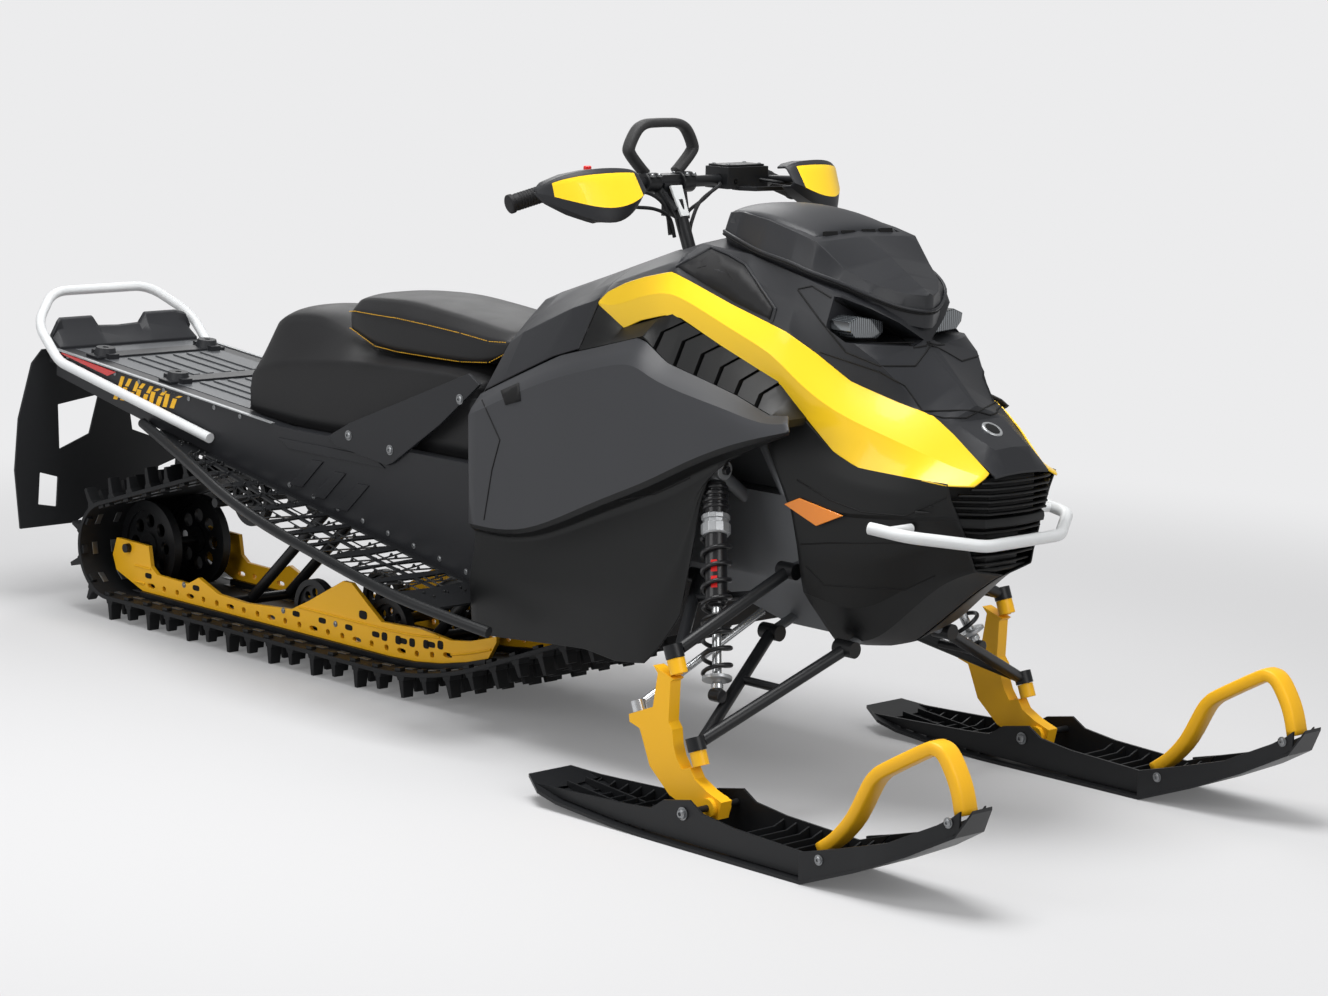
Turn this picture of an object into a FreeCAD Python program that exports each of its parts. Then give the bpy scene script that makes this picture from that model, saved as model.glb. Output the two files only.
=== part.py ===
"""A mountain snowmobile: one parametric document, millimetres, +X forward, +Y left, +Z up."""
import FreeCAD, Part
import math
import os
from FreeCAD import Placement, Rotation, Vector

doc = FreeCAD.newDocument("snowmobile")
sheet = doc.addObject("Spreadsheet::Sheet", "Dims")

# Driving dimensions. The floor is z = 0 and x = 0 is half way between bumper bar and ski tips.
DIMENSIONS = {
    # Track, tunnel and rear suspension
    "track_width": 381, "track_pitch": 72.6, "belt_gauge": 10, "lug_height": 45, "lug_gauge": 9,
    "rear_wheel_x": -1225, "rear_wheel_radius": 102, "carrier_x": -820, "carrier_z": 322,
    "carrier_radius": 60, "sprocket_x": 330, "sprocket_z": 325, "sprocket_radius": 92,
    "rail_curve_start": -310, "rail_curve_radius": 1000, "rail_offset": 125, "rail_gauge": 10,
    "shoe_height": 12, "shoe_width": 26, "bogie_radius": 62, "wheel_width": 20, "wheel_offset": 94,
    "idler_offset": 67, "axle_radius": 10, "drive_axle_radius": 14,
    "tunnel_width": 400, "tunnel_rear": -1404, "tunnel_front": 500, "tunnel_sheet": 3,
    "roof_rear_z": 589, "roof_knee_x": -588, "roof_z": 515,
    "board_z": 280.6, "board_slope": 0.173, "board_plate": 4, "board_tube_radius": 11,
    "bumper_tube_radius": 11, "flap_plate": 6, "anchor_radius": 27, "anchor_height": 22,
    "brace_plate": 7,
    # Seat and tank
    "seat_half_width": 172, "pad_half_width": 135,
    # Bodywork
    "body_wall": 4, "panel_half_width": 300, "panel_top_half_width": 250,
    # Steering
    "column_x": 366, "column_z": 1030, "column_lean": 23.4, "column_radius": 13,
    "column_length": 240, "bar_z": 1082, "bar_x": 325, "bar_radius": 11, "bar_half_length": 375,
    # Front suspension and skis
    "ski_stance": 905, "kingpin_offset": 442.5, "kingpin_x": 845, "kingpin_z": 280,
    "kingpin_caster": 21.8, "stud_radius": 7, "joint_radius": 17, "arm_tube_radius": 11,
    "ski_bolt_x": 945, "ski_bolt_z": 58, "ski_bolt_radius": 6, "ski_width": 172,
    "ski_tip_x": 1555, "ski_tail_x": 530, "ski_plate": 6,
    # Clearances
    "running_gap": 0.3, "panel_gap": 0.5,
}
for row, (alias, number) in enumerate(DIMENSIONS.items(), start=1):
    sheet.set("A%d" % row, alias)
    sheet.set("B%d" % row, str(number))
    sheet.setAlias("B%d" % row, alias)
doc.recompute()


def size(alias):
    """The value of one driving dimension."""
    return float(getattr(sheet, alias))


nodes = {}


def keep(label, item):
    """Note an object as a sub-part; its label names its file."""
    item.Label = label
    nodes[label] = item
    return item


def origin_plane(body, role):
    """One of the body's own origin planes."""
    return [item for item in body.Origin.OriginFeatures if item.Role == role][0]


def outline(sketch, points):
    """Closed straight-sided outline in a sketch."""
    corners = [Vector(a, b, 0) for a, b in points]
    for here, there in zip(corners, corners[1:] + corners[:1]):
        sketch.addGeometry(Part.LineSegment(here, there), False)


def section(body, name, points, plane="YZ_Plane", offset=0.0):
    """Sketch on one of the body's planes, moved along the plane's normal by offset."""
    sketch = body.newObject("Sketcher::SketchObject", name)
    sketch.AttachmentSupport = [(origin_plane(body, plane), "")]
    sketch.MapMode = "FlatFace"
    sketch.AttachmentOffset = Placement(Vector(0, 0, offset), Rotation())
    outline(sketch, points)
    return sketch


def plate(name, points, length, plane="XZ_Plane", offset=0.0, holes=(), both_ways=True):
    """Flat piece: an outline padded by a length that is an expression of the sheet."""
    body = doc.addObject("PartDesign::Body", name)
    sketch = section(body, name + "_outline", points, plane, offset)
    for hole in holes:
        outline(sketch, hole)
    pad = body.newObject("PartDesign::Pad", name + "_pad")
    pad.Profile = sketch
    pad.Midplane = both_ways
    pad.setExpression("Length", length)
    body.Tip = pad
    return body


def loft(name, stations, plane="YZ_Plane", ruled=True):
    """Body lofted through sections; stations is a list of (offset, points)."""
    body = doc.addObject("PartDesign::Body", name)
    sketches = [section(body, "%s_section%d" % (name, number), points, plane, offset)
                for number, (offset, points) in enumerate(stations)]
    feature = body.newObject("PartDesign::AdditiveLoft", name + "_loft")
    feature.Profile = sketches[0]
    feature.Sections = sketches[1:]
    feature.Ruled = ruled
    body.Tip = feature
    return body


def solid(name, shape):
    """Document object around a shape made with Part functions."""
    item = doc.addObject("Part::Feature", name)
    item.Shape = shape
    return item


def joined(name, items):
    """One solid from overlapping or touching objects."""
    fuse = doc.addObject("Part::MultiFuse", name)
    fuse.Shapes = items
    return fuse


def grouped(name, items):
    """Separate solids that share one node."""
    group = doc.addObject("Part::Compound", name)
    group.Links = items
    return group


def cut(name, base, tool):
    """Base with the tool taken away."""
    item = doc.addObject("Part::Cut", name)
    item.Base = base
    item.Tool = tool
    return item


def mirrored(name, source):
    """The same piece on the left side of the machine."""
    item = doc.addObject("Part::Mirroring", name)
    item.Source = source
    item.Base = (0, 0, 0)
    item.Normal = (0, 1, 0)
    return item


def pair(label, source):
    """A right-hand piece and its left-hand twin as two nodes."""
    keep(label + "_right", source)
    keep(label + "_left", mirrored(label + "_left", source))


def cylinder(start, end, radius):
    """Round bar between two points."""
    start, end = Vector(*start), Vector(*end)
    return Part.makeCylinder(radius, (end - start).Length, start, end - start)


def tube(points, radius, bend=None):
    """Round bar along straight runs joined by tangent arcs."""
    corners = [Vector(*point) for point in points]
    edges = []
    start = corners[0]
    for before, corner, after in zip(corners, corners[1:], corners[2:]):
        inward, outward = (before - corner), (after - corner)
        half_turn = (math.pi - inward.getAngle(outward)) / 2
        room = 0.45 * min(inward.Length, outward.Length)
        reach = min(room, (bend or 1e9) * math.tan(half_turn))
        inward.normalize()
        outward.normalize()
        first, last = corner + inward * reach, corner + outward * reach
        bisector = (inward + outward).normalize()
        arc_radius = reach / math.tan(half_turn)
        middle = corner + bisector * (arc_radius / math.cos(half_turn) - arc_radius)
        edges.append(Part.LineSegment(start, first).toShape())
        edges.append(Part.Arc(first, middle, last).toShape())
        start = last
    edges.append(Part.LineSegment(start, corners[-1]).toShape())
    path = Part.Wire(edges)
    ring = Part.Wire(Part.Circle(corners[0], corners[1] - corners[0], radius).toShape())
    return path.makePipeShell([ring], True, False)


def line_at(points, x):
    """Height and half width of a feature line at x; points are (x, y, z)."""
    for before, after in zip(points, points[1:]):
        if x <= after[0] or after is points[-1]:
            share = (x - before[0]) / (after[0] - before[0])
            return tuple(a + share * (b - a) for a, b in zip(before[1:], after[1:]))


def band(points, wall):
    """Closed outline of an open line given a thickness to its right-hand side."""
    inner = []
    for number, point in enumerate(points):
        before = points[max(number - 1, 0)]
        after = points[min(number + 1, len(points) - 1)]
        directions = []
        for a, b in ((before, point), (point, after)):
            run = math.hypot(b[0] - a[0], b[1] - a[1])
            if run > 0:
                directions.append(((b[0] - a[0]) / run, (b[1] - a[1]) / run))
        along = [sum(d[k] for d in directions) for k in (0, 1)]
        length = math.hypot(*along)
        normal = (along[1] / length, -along[0] / length)
        first = directions[0]
        widen = 1 / max(0.5, normal[0] * first[1] - normal[1] * first[0])
        inner.append((point[0] + normal[0] * wall * widen, point[1] + normal[1] * wall * widen))
    return list(points) + inner[::-1]


# Tunnel: an inverted U of sheet over the track, its roof rising to the rear
roof_rear_z, roof_knee_x, roof_z = size("roof_rear_z"), size("roof_knee_x"), size("roof_z")
tunnel_rear, tunnel_front, sheet_gauge = size("tunnel_rear"), size("tunnel_front"), size("tunnel_sheet")
tunnel_side = size("tunnel_width") / 2
board_rear_x = -1000


def roof_at(x):
    """Height of the tunnel's top face."""
    rise = (roof_rear_z - roof_z) / (roof_knee_x - tunnel_rear)
    return roof_z + max(0.0, roof_knee_x - x) * rise


def board_at(x):
    """Height of the running board plane, which drops towards the front."""
    return size("board_z") - size("board_slope") * x


def make_tunnel():
    rear_depth = 58
    outside = [(tunnel_rear, roof_rear_z - rear_depth), (board_rear_x, board_at(board_rear_x)),
               (300, board_at(300)), (tunnel_front, 245), (tunnel_front, roof_z),
               (roof_knee_x, roof_z), (tunnel_rear, roof_rear_z)]
    body = plate("tunnel_body", outside, "Dims.tunnel_width")
    past_rear = tunnel_rear - 50
    inside = [(past_rear, roof_at(past_rear) - sheet_gauge), (roof_knee_x, roof_z - sheet_gauge),
              (tunnel_front - sheet_gauge, roof_z - sheet_gauge), (tunnel_front - sheet_gauge, 100),
              (past_rear, 100)]
    opening = section(body, "tunnel_inside", inside, "XZ_Plane")
    pocket = body.newObject("PartDesign::Pocket", "tunnel_pocket")
    pocket.Profile = opening
    pocket.Midplane = True
    pocket.setExpression("Length", "Dims.tunnel_width - 2 * Dims.tunnel_sheet")
    body.Tip = pocket
    return body


keep("tunnel", make_tunnel())


# Running boards: a lattice plate on a sloping plane with a round tube along its outer edge
board_reach = [(-1000, 6), (-867, 57), (-740, 99), (-489, 173), (-165, 213), (0, 200), (110, 181)]
board_edge = [(x, tunnel_side + reach, 0) for x, reach in board_reach]


def make_running_board():
    rear_x, front_x = board_edge[0][0], board_edge[-1][0]
    plan = [(x, -y) for x, y, _ in board_edge] + [(front_x, -tunnel_side), (rear_x, -tunnel_side)]
    windows = []
    rib, bay, rim = 9, 74, 14
    for number in range(13):
        first = rear_x + 150 + number * (bay - 1)
        last = first + bay - rib - 8
        lean = 10 if number % 2 else -10
        if last + abs(lean) > front_x - 20:
            break
        outer = [line_at(board_edge, x)[0] - rim for x in (first, last)]
        middle = [tunnel_side + 0.5 * (y - tunnel_side) for y in outer]
        inner = tunnel_side + 16
        if min(middle) - inner < 20:
            windows.append([(first, -inner), (last, -inner), (last, -outer[1]), (first, -outer[0])])
            continue
        windows.append([(first, -inner), (last, -inner), (last + lean / 2, -middle[1] + rib / 2),
                        (first + lean / 2, -middle[0] + rib / 2)])
        windows.append([(first + lean / 2, -middle[0] - rib / 2), (last + lean / 2, -middle[1] - rib / 2),
                        (last, -outer[1]), (first, -outer[0])])
    thick = size("board_plate")
    slope = math.atan(size("board_slope"))
    on_slope = [[(x / math.cos(slope), y) for x, y in points] for points in [plan] + windows]
    deck_plate = plate("board_deck", on_slope[0], "Dims.board_plate", "XY_Plane", 0, on_slope[1:], both_ways=False)
    deck_plate.Placement = Placement(Vector(0, 0, size("board_z")), Rotation(Vector(0, 1, 0), math.degrees(slope)))
    radius = size("board_tube_radius")
    ends = [(-1060, tunnel_side + radius + size("running_gap"), 0)]
    front_ends = [(191, tunnel_side + 166, 0), (250, tunnel_side + 152, 0)]
    route = [(x, -y - (radius - 4 if x > rear_x else 0), board_at(x) + thick / 2)
             for x, y, _ in ends + board_edge[1:-1:2] + front_ends]
    rail = solid("board_tube", tube(route, radius))
    return joined("running_board_right", [deck_plate, rail])


pair("running_board", make_running_board())


# Rear bumper: one tube bent up behind the tunnel, its ends along the tunnel sides
def make_rear_bumper():
    radius = size("bumper_tube_radius")
    side = tunnel_side + radius + size("running_gap")
    half = [(-819, -side, 463), (-1378, -side, 566), (-1460, -side, 641), (-1519, 67 - tunnel_side, 705)]
    route = half + [(x, -y, z) for x, y, z in half[::-1]]
    return solid("rear_bumper", tube(route, radius, 90))


keep("rear_bumper", make_rear_bumper())


# Tail housing and snow flap behind the tunnel
tail_rear = -1458


def make_tail_housing():
    rear, front = tail_rear, tunnel_rear - size("running_gap")
    low = roof_rear_z - 34
    stations = []
    for half_width, top, back in ((-190, 640, rear + 16), (-120, 655, rear), (120, 655, rear), (190, 640, rear + 16)):
        stations.append((-half_width, [(front, low), (front, top - 25), (front + 0.1, top), (back + 22, top),
                                       (back, top - 30), (back, low)]))
    housing = loft("tail_housing", stations, "XZ_Plane")
    return housing


keep("tail_housing", make_tail_housing())

tail_lens_depth = 10


def make_tail_lenses():
    lamp = doc.addObject("Part::Box", "tail_lamp")
    lamp.Length, lamp.Width, lamp.Height = tail_lens_depth, 180, 22
    lamp.Placement = Placement(Vector(tail_rear - tail_lens_depth, -90, 592), Rotation())
    reflectors = []
    for sign in (-1, 1):
        points = [(-1380, 581.5), (-1205, 552), (-1172, 564), (-1380, 586)]
        reflector = plate("side_reflector", points, "3", "XZ_Plane", -sign * (tunnel_side + 1.5))
        reflectors.append(reflector)
    return grouped("tail_lenses", [lamp] + reflectors)


keep("tail_lenses", make_tail_lenses())


def make_snow_flap():
    half = [(0, 586), (200, 586), (226, 556), (255, 430), (258, 310), (236, 172), (90, 172), (60, 186), (0, 186)]
    points = [(-y, z) for y, z in half] + [(y, z) for y, z in half[::-1][1:-1]]
    windows = []
    for sign in (-1, 1):
        windows.append([(sign * y, z) for y, z in ((40, 470), (150, 455), (140, 350), (60, 380))])
        windows.append([(sign * y, z) for y, z in ((140, 285), (190, 300), (190, 225), (140, 215))])
    flap = plate("snow_flap", points, "Dims.flap_plate", "YZ_Plane", 0, windows)
    tilt = 5
    hinge_x, hinge_z = tail_rear - size("running_gap"), half[0][1]
    lean_out = hinge_z * math.sin(math.radians(tilt)) + size("flap_plate") / 2
    flap.Placement = Placement(Vector(hinge_x - lean_out, 0, 0), Rotation(Vector(0, 1, 0), tilt))
    return flap


keep("snow_flap", make_snow_flap())


# Four winged cargo anchors on the tunnel roof
def make_cargo_anchors():
    anchors = []
    slope = math.degrees(math.atan((roof_rear_z - roof_z) / (roof_knee_x - tunnel_rear)))
    for x in (-1302, -1031):
        for y in (-140, 140):
            post = Part.makeCone(size("anchor_radius"), size("anchor_radius") - 6, size("anchor_height"))
            wing = Part.makeBox(70, 26, 12, Vector(-35, -13, 0))
            bore = Part.makeCylinder(7, size("anchor_height") * 2, Vector(0, 0, 4))
            shape = post.fuse(wing).cut(bore).removeSplitter()
            shape.Placement = Placement(Vector(x, y, roof_at(x) + size("running_gap")),
                                        Rotation(Vector(0, 1, 0), slope))
            anchors.append(solid("cargo_anchor", shape))
    return grouped("cargo_anchors", anchors)


keep("cargo_anchors", make_cargo_anchors())


# Seat: a moulded base that carries a thin pad, with the tank ahead of it
def make_seat_base():
    half = size("seat_half_width")
    gap = size("running_gap")

    def profile(side):
        floor = [(-10, roof_z + gap), (roof_knee_x, roof_z + gap), (-690, roof_at(-690) + gap)]
        if side:
            return floor + [(-736, 600), (-736, 631), (-640, 645), (-480, 665), (-332, 678), (-50, 689), (-10, 640)]
        return floor + [(-745, 610), (-700, 742), (-666, 758), (-577, 762), (-384, 682), (-50, 692), (-10, 650)]

    stations = [(-half, profile(True)), (-half * 0.55, profile(False)),
                (half * 0.55, profile(False)), (half, profile(True))]
    return loft("seat_base", stations, "XZ_Plane")


def make_seat_pad():
    half = size("pad_half_width")

    def profile(drop, pull):
        return [(-478 + pull, 745 - drop), (-468 + pull, 799 - drop), (-298, 810 - drop), (-100, 790 - drop),
                (0, 774 - drop), (34 - pull, 774 - drop), (30 - pull, 735), (-40, 692.8), (-372, 684.2),
                (-428 + pull, 740)]

    stations = [(-half, profile(22, 12)), (-half * 0.7, profile(0, 0)),
                (half * 0.7, profile(0, 0)), (half, profile(22, 12))]
    return loft("seat_pad", stations, "XZ_Plane")


def make_fuel_tank():
    gap = size("running_gap")

    def profile(top):
        return [(-9, roof_z + gap), (150, roof_z + gap), (150, top), (95, top), (-9, 640)]

    edge = tunnel_side - 10
    stations = [(-edge, profile(650)), (-130, profile(745)), (130, profile(745)), (edge, profile(650))]
    return loft("fuel_tank", stations, "XZ_Plane")


keep("seat_base", make_seat_base())
keep("seat_pad", make_seat_pad())
keep("fuel_tank", make_fuel_tank())


# Bar from the tunnel up to the console on each side
def make_frame_braces():
    points = [(-429, 516), (-358, 552), (3, 693), (37, 675), (-81, 581), (-222, 487), (-240, 480), (-400, 500)]
    right = plate("frame_brace", points, "Dims.brace_plate", "XZ_Plane", tunnel_side + size("brace_plate") / 2)
    return grouped("frame_braces", [right, mirrored("frame_brace_left", right)])


keep("frame_braces", make_frame_braces())


# Bodywork feature lines, each point (x, half width, z); the panels meet along them
top_y = size("panel_top_half_width")
side_y = size("panel_half_width")
centre_line = [(40, 0, 781), (103, 0, 857), (155, 0, 878), (295, 0, 931), (362, 0, 955), (549, 0, 1004),
               (700, 0, 998), (836, 0, 975), (960, 0, 926), (985, 0, 900), (1005, 0, 846), (1122, 0, 747),
               (1131, 0, 724), (1207, 0, 685), (1232, 0, 646)]
brow_line = [(40, 80, 770), (103, 98, 842), (155, 102, 862), (295, 108, 908), (362, 110, 931), (549, 118, 990),
             (700, 146, 984), (836, 150, 955), (917, 138, 932), (960, 104, 910), (985, 62, 886), (1005, 12, 848),
             (1122, 4, 747), (1131, 4, 724), (1207, 4, 685), (1232, 4, 646)]
cheek_line = [(40, 120, 740), (103, 142, 806), (155, 150, 828), (295, 156, 878), (362, 164, 903), (549, 172, 964),
              (700, 176, 945), (836, 170, 912), (917, 158, 876), (960, 148, 850), (1005, 134, 822), (1080, 92, 744),
              (1106, 78, 730), (1131, 62, 723), (1207, 45, 683), (1232, 40, 645)]
yellow_upper = [(362, 200, 873), (549, 196, 942), (700, 192, 896), (836, 190, 860), (960, 150, 781),
                (1106, 93, 733), (1189, 80, 672), (1232, 72, 642)]
yellow_lower = [(362, 201, 866), (436, 206, 828), (570, 212, 867), (700, 210, 822), (836, 205, 773),
                (885, 200, 728), (960, 190, 665), (1000, 184, 645), (1189, 146, 633), (1232, 100, 632)]
panel_top = [(40, top_y - 40, 640), (88, top_y, 667), (312, top_y, 766), (533, top_y, 824), (599, top_y, 783),
             (776, top_y, 745), (864, top_y, 718), (952, side_y - 10, 706)]
panel_crease = [(115, side_y, 424), (157, side_y, 419), (299, side_y, 437), (452, side_y, 508),
                (600, side_y, 570), (744, side_y, 640), (792, side_y, 660), (952, side_y, 703)]
panel_sill = [(115, side_y - 8, 208), (207, side_y - 8, 214), (444, side_y - 8, 233), (526, side_y - 8, 223),
              (601, side_y - 8, 232), (634, side_y - 8, 270), (693, side_y, 320), (744, side_y, 439),
              (755, side_y, 566), (792, side_y, 595), (952, side_y, 700)]
wall = size("body_wall")
seam = size("panel_gap")


def arch_stations(xs, lines, wall_thickness):
    """Sections of a shell that runs over the machine from right to left."""
    stations = []
    for x in xs:
        right = [line_at(line, x) for line in lines]
        over = [(-y, z) for y, z in right] + [(y, z) for y, z in right[::-1] if y > 0]
        stations.append((x, band(over, wall_thickness)))
    return stations


def strip_stations(xs, lines, wall_thickness):
    """Sections of a right-hand shell that follows the given lines from low to high."""
    stations = []
    for x in xs:
        points = [line_at(line, x) for line in lines]
        stations.append((x, band([(-y, z) for y, z in points], wall_thickness)))
    return stations


def raised(line, up):
    """The same feature line a little higher or lower."""
    return [(x, y, z + up) for x, y, z in line]


# Gauge pod: a tapered cap with an air intake, which ends in a lip over the hood's brow.
# Each section is (x, half width and height of the lip, of the shoulder, height of the crown).
pod_sections = ((535, 46, 1012, 36, 1036, 1044), (580, 92, 1014, 78, 1048, 1056), (640, 124, 1008, 108, 1054, 1062),
                (720, 146, 993, 122, 1046, 1054), (800, 150, 980, 130, 1030, 1038), (848, 145, 967, 131, 1018, 1024),
                (902, 128, 952, 112, 972, 993), (950, 100, 932, 84, 949, 964), (985, 52, 910, 44, 934, 943),
                (1004, 10, 902, 8, 930, 934))
pod_skirt = 30


def make_pod():
    stations = []
    for x, lip_half, lip, shoulder_half, shoulder, crown in pod_sections:
        right = [(-0.9 * lip_half, lip - pod_skirt), (-lip_half, lip), (-shoulder_half, shoulder)]
        stations.append((x, right + [(0, crown)] + [(-y, z) for y, z in right[::-1]]))
    return loft("pod_block", stations)


def make_intake():
    """Two pockets in the pod's crown with a web between them."""
    web, reach = 9, 112
    side_view = [(728, 1100), (728, 1004), (822, 992), (840, 1100)]
    return [plate("intake_pocket", side_view, str(reach - web / 2), "XZ_Plane", start, both_ways=False)
            for start in (-reach, web / 2)]


# Headlamps: a clear angular lens in the dark slot under each side of the brow
lamp_back, lamp_front, slot_front = 905, 952, 1060
lamp_outline = [(152, 886), (128, 895), (89, 889), (64, 883), (63, 863), (77, 853), (136, 857), (149, 870)]
slot_outline = [(171, 934), (138, 926), (60, 884), (10, 852), (36, 842), (96, 846), (152, 850), (168, 888)]


def make_headlamp():
    return plate("headlamp", [(-y, z) for y, z in lamp_outline], str(lamp_front - lamp_back), "YZ_Plane",
                 (lamp_front + lamp_back) / 2)


def make_lamp_slot():
    return plate("lamp_slot", [(-y, z) for y, z in slot_outline], str(slot_front - lamp_back), "YZ_Plane",
                 (slot_front + lamp_back) / 2)


pod_block = make_pod()
headlamp_right = make_headlamp()
keep("head_pod", cut("head_pod", pod_block, grouped("intake_tools", make_intake())))
keep("headlamps", grouped("headlamps", [headlamp_right, mirrored("headlamp_left", headlamp_right)]))

# The column's line, used by the hood's slot and by everything that steers
lean = math.radians(size("column_lean"))
column_axis = Vector(-math.sin(lean), 0, math.cos(lean))
column_point = Vector(size("column_x"), 0, size("column_z"))


def on_column(distance):
    """Point on the steering axis, distance above its reference point."""
    return column_point + column_axis * distance


def make_console():
    xs = (40, 103, 155, 295, 361.5)
    shoulder = [(40, 160, 700), (103, 188, 765), (155, 200, 790), (295, 205, 850), (362, 200, 872)]
    lines = [raised(panel_top, wall + seam), shoulder, cheek_line, brow_line, centre_line]
    shell = loft("console_shell", arch_stations(xs, lines, wall))
    right_trimmed = cut("console_trimmed", shell, nodes["side_panel_right"])
    return cut("console", right_trimmed, nodes["side_panel_left"])


def make_brow():
    """Thick lower side of the brow behind the lamps, so that each slot has a back and walls."""
    inset, depth = 2, 36
    stations = []
    for x in (870, 917, 960, 985, 1000):
        right = [line_at(line, x) for line in (cheek_line, brow_line, centre_line)]
        upper = [(inset - y, z - inset) for y, z in right[:2]] + [(0, right[2][1] - inset)]
        lower = [(inset - right[0][0], right[0][1] - depth)]
        half = lower + upper
        stations.append((x, half + [(-y, z) for y, z in half[:-1][::-1]]))
    return loft("brow_block", stations)


def make_hood():
    xs = (362, 549, 700, 836, 917, 960, 985, 1005, 1080, 1106, 1122, 1131, 1189, 1207, 1232)
    shell = loft("hood_shell", arch_stations(xs, [yellow_upper, cheek_line, brow_line, centre_line], wall))
    column_slot = solid("column_slot", cylinder(on_column(-160), on_column(60), size("column_radius") + 9))
    lamp_slot = make_lamp_slot()
    tools = grouped("hood_tools", [pod_block, column_slot, lamp_slot, mirrored("lamp_slot_left", lamp_slot)])
    return cut("hood", joined("hood_and_brow", [shell, make_brow()]), tools)


keep("hood", make_hood())


def make_yellow_panel():
    xs = (366, 436, 549, 570, 700, 836, 885, 960, 1000, 1106, 1189, 1231)
    lines = [yellow_lower, raised(yellow_upper, -seam)]
    return cut("hood_panel_right", loft("yellow_strip", strip_stations(xs, lines, wall)), nodes["hood"])


pair("hood_panel", make_yellow_panel())


def make_side_panel():
    xs = (115, 157, 207, 299, 312, 444, 452, 526, 533, 599, 601, 634, 693, 744, 755, 776, 792, 864, 952)
    lines = [panel_sill, panel_crease, raised(panel_top, -seam)]
    return loft("side_panel_right", strip_stations(xs, lines, wall))


pair("side_panel", make_side_panel())


# Louvres between the yellow panel and the side panel: chevron blades parted by deep grooves
louvre_wall, louvre_groove, louvre_pitch = 13, 9, 46


def louvre_grooves():
    """Chevron prisms that reach right through the strip."""
    prisms = []
    for number in range(6):
        top_x = 613 + louvre_pitch * number
        knee_x = top_x - 52 + 5 * number
        foot_x = knee_x + 2 * number
        top_z = line_at(yellow_lower, top_x)[1] + 12
        knee_z = line_at(yellow_lower, knee_x)[1] - 30
        foot_z = line_at(panel_top, foot_x)[1] - 14
        rear = [(top_x, top_z), (knee_x, knee_z), (foot_x, foot_z)]
        points = rear + [(x + louvre_groove, z) for x, z in rear[::-1]]
        prisms.append(plate("louvre_groove", points, "120", "XZ_Plane", side_y - 60))
    return joined("louvre_prisms", prisms)


def make_louvres():
    xs = (364, 436, 533, 570, 599, 700, 776, 836, 864, 900)
    lines = [raised(panel_top, seam), raised(yellow_lower, -seam)]
    neighbours = grouped("louvre_tools", [nodes["hood_panel_right"], nodes["side_panel_right"]])
    strip = cut("louvre_band", loft("louvre_strip", strip_stations(xs, lines, louvre_wall)), neighbours)
    groove_zone = doc.addObject("Part::Common", "louvre_groove_zone")
    groove_zone.Base = loft("louvre_skin", strip_stations(xs, lines, louvre_wall - wall))
    groove_zone.Tool = louvre_grooves()
    bladed = cut("louvre_blades", strip, groove_zone)
    return grouped("side_louvres", [bladed, mirrored("louvre_blades_left", bladed)])


keep("side_louvres", make_louvres())
keep("console", make_console())


# Belly pan and nose below the yellow panels
belly_centre = [(860, 0, 278), (900, 0, 276), (1000, 0, 300), (1134, 0, 410), (1203, 0, 456), (1222, 0, 553)]
belly_low = [(860, 109, 298), (900, 110, 298), (1000, 104, 318), (1134, 96, 460), (1203, 80, 480),
             (1222, 78, 556)]
belly_mid = [(860, 196, 410), (900, 196, 402), (1000, 186, 420), (1134, 150, 540), (1203, 112, 560),
             (1222, 100, 590)]
belly_top = [(860, 202, 600), (885, 200, 727), (960, 190, 664), (1000, 184, 644), (1189, 146, 632),
             (1222, 110, 631)]


def make_belly_pan():
    xs = (860, 885, 900, 960, 1000, 1134, 1189, 1203, 1222)
    lines = [belly_top, belly_mid, belly_low, belly_centre]
    stations = []
    for x in xs:
        right = [line_at(line, x) for line in lines]
        under = [(y, z) for y, z in right] + [(-y, z) for y, z in right[::-1] if y > 0]
        stations.append((x, band(under, wall)))
    shell = loft("belly_shell", stations)
    slots = []
    for x, y, z in lower_pivots + upper_pivots:
        slots += [Part.makeBox(60, 70, 44, Vector(x - 30, y if sign < 0 else -y - 70, z - 20))
                  for sign in (-1, 1)]
    grille_opening = plate("grille_opening", [(1250, 650), (1192, 645), (1126, 571), (1250, 562)], "400")
    neighbours = [nodes[label] for label in ("hood_panel_right", "hood_panel_left", "side_louvres",
                                             "marker_lamps", "grille")]
    tools = [solid("belly_slots", Part.makeCompound(slots)), grille_opening] + neighbours
    return cut("belly_pan", shell, grouped("belly_tools", tools))


def nose_plan(half_width, front, sweep, depth):
    """Plan of a bar across the nose: flat in the middle and swept back to its ends."""
    outer = [(front - sweep, -half_width), (front - 7, -0.55 * half_width), (front, 0),
             (front - 7, 0.55 * half_width), (front - sweep, half_width)]
    return outer + [(x - depth, y) for x, y in outer[::-1]]


def make_grille():
    """Swept bars in the nose opening, over a web and a lower set of bars."""
    bars = []
    for number in range(5):
        plan = nose_plan(162 - 7 * number, 1229, 94 - 13 * number, 12)
        bars.append(plate("grille_bar", plan, "5.5", "XY_Plane", 579 + 13 * number))
    for number in range(5):
        front = 1196 + 4.5 * number
        plan = nose_plan(76 + 4 * number, front, 24, 12)
        bars.append(plate("low_grille_bar", plan, "6", "XY_Plane", 458 + 18 * number))
    web = plate("grille_web", nose_plan(100, 1226, 36, 14), "20", "XY_Plane", 556)
    posts = [plate("grille_post", [(1188, 450), (1196, 450), (1222, 560), (1222, 634), (1214, 634), (1214, 562)],
                   "7", "XZ_Plane", y) for y in (-56, 0, 56)]
    return joined("grille", bars + [web] + posts)


keep("grille", make_grille())


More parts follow.
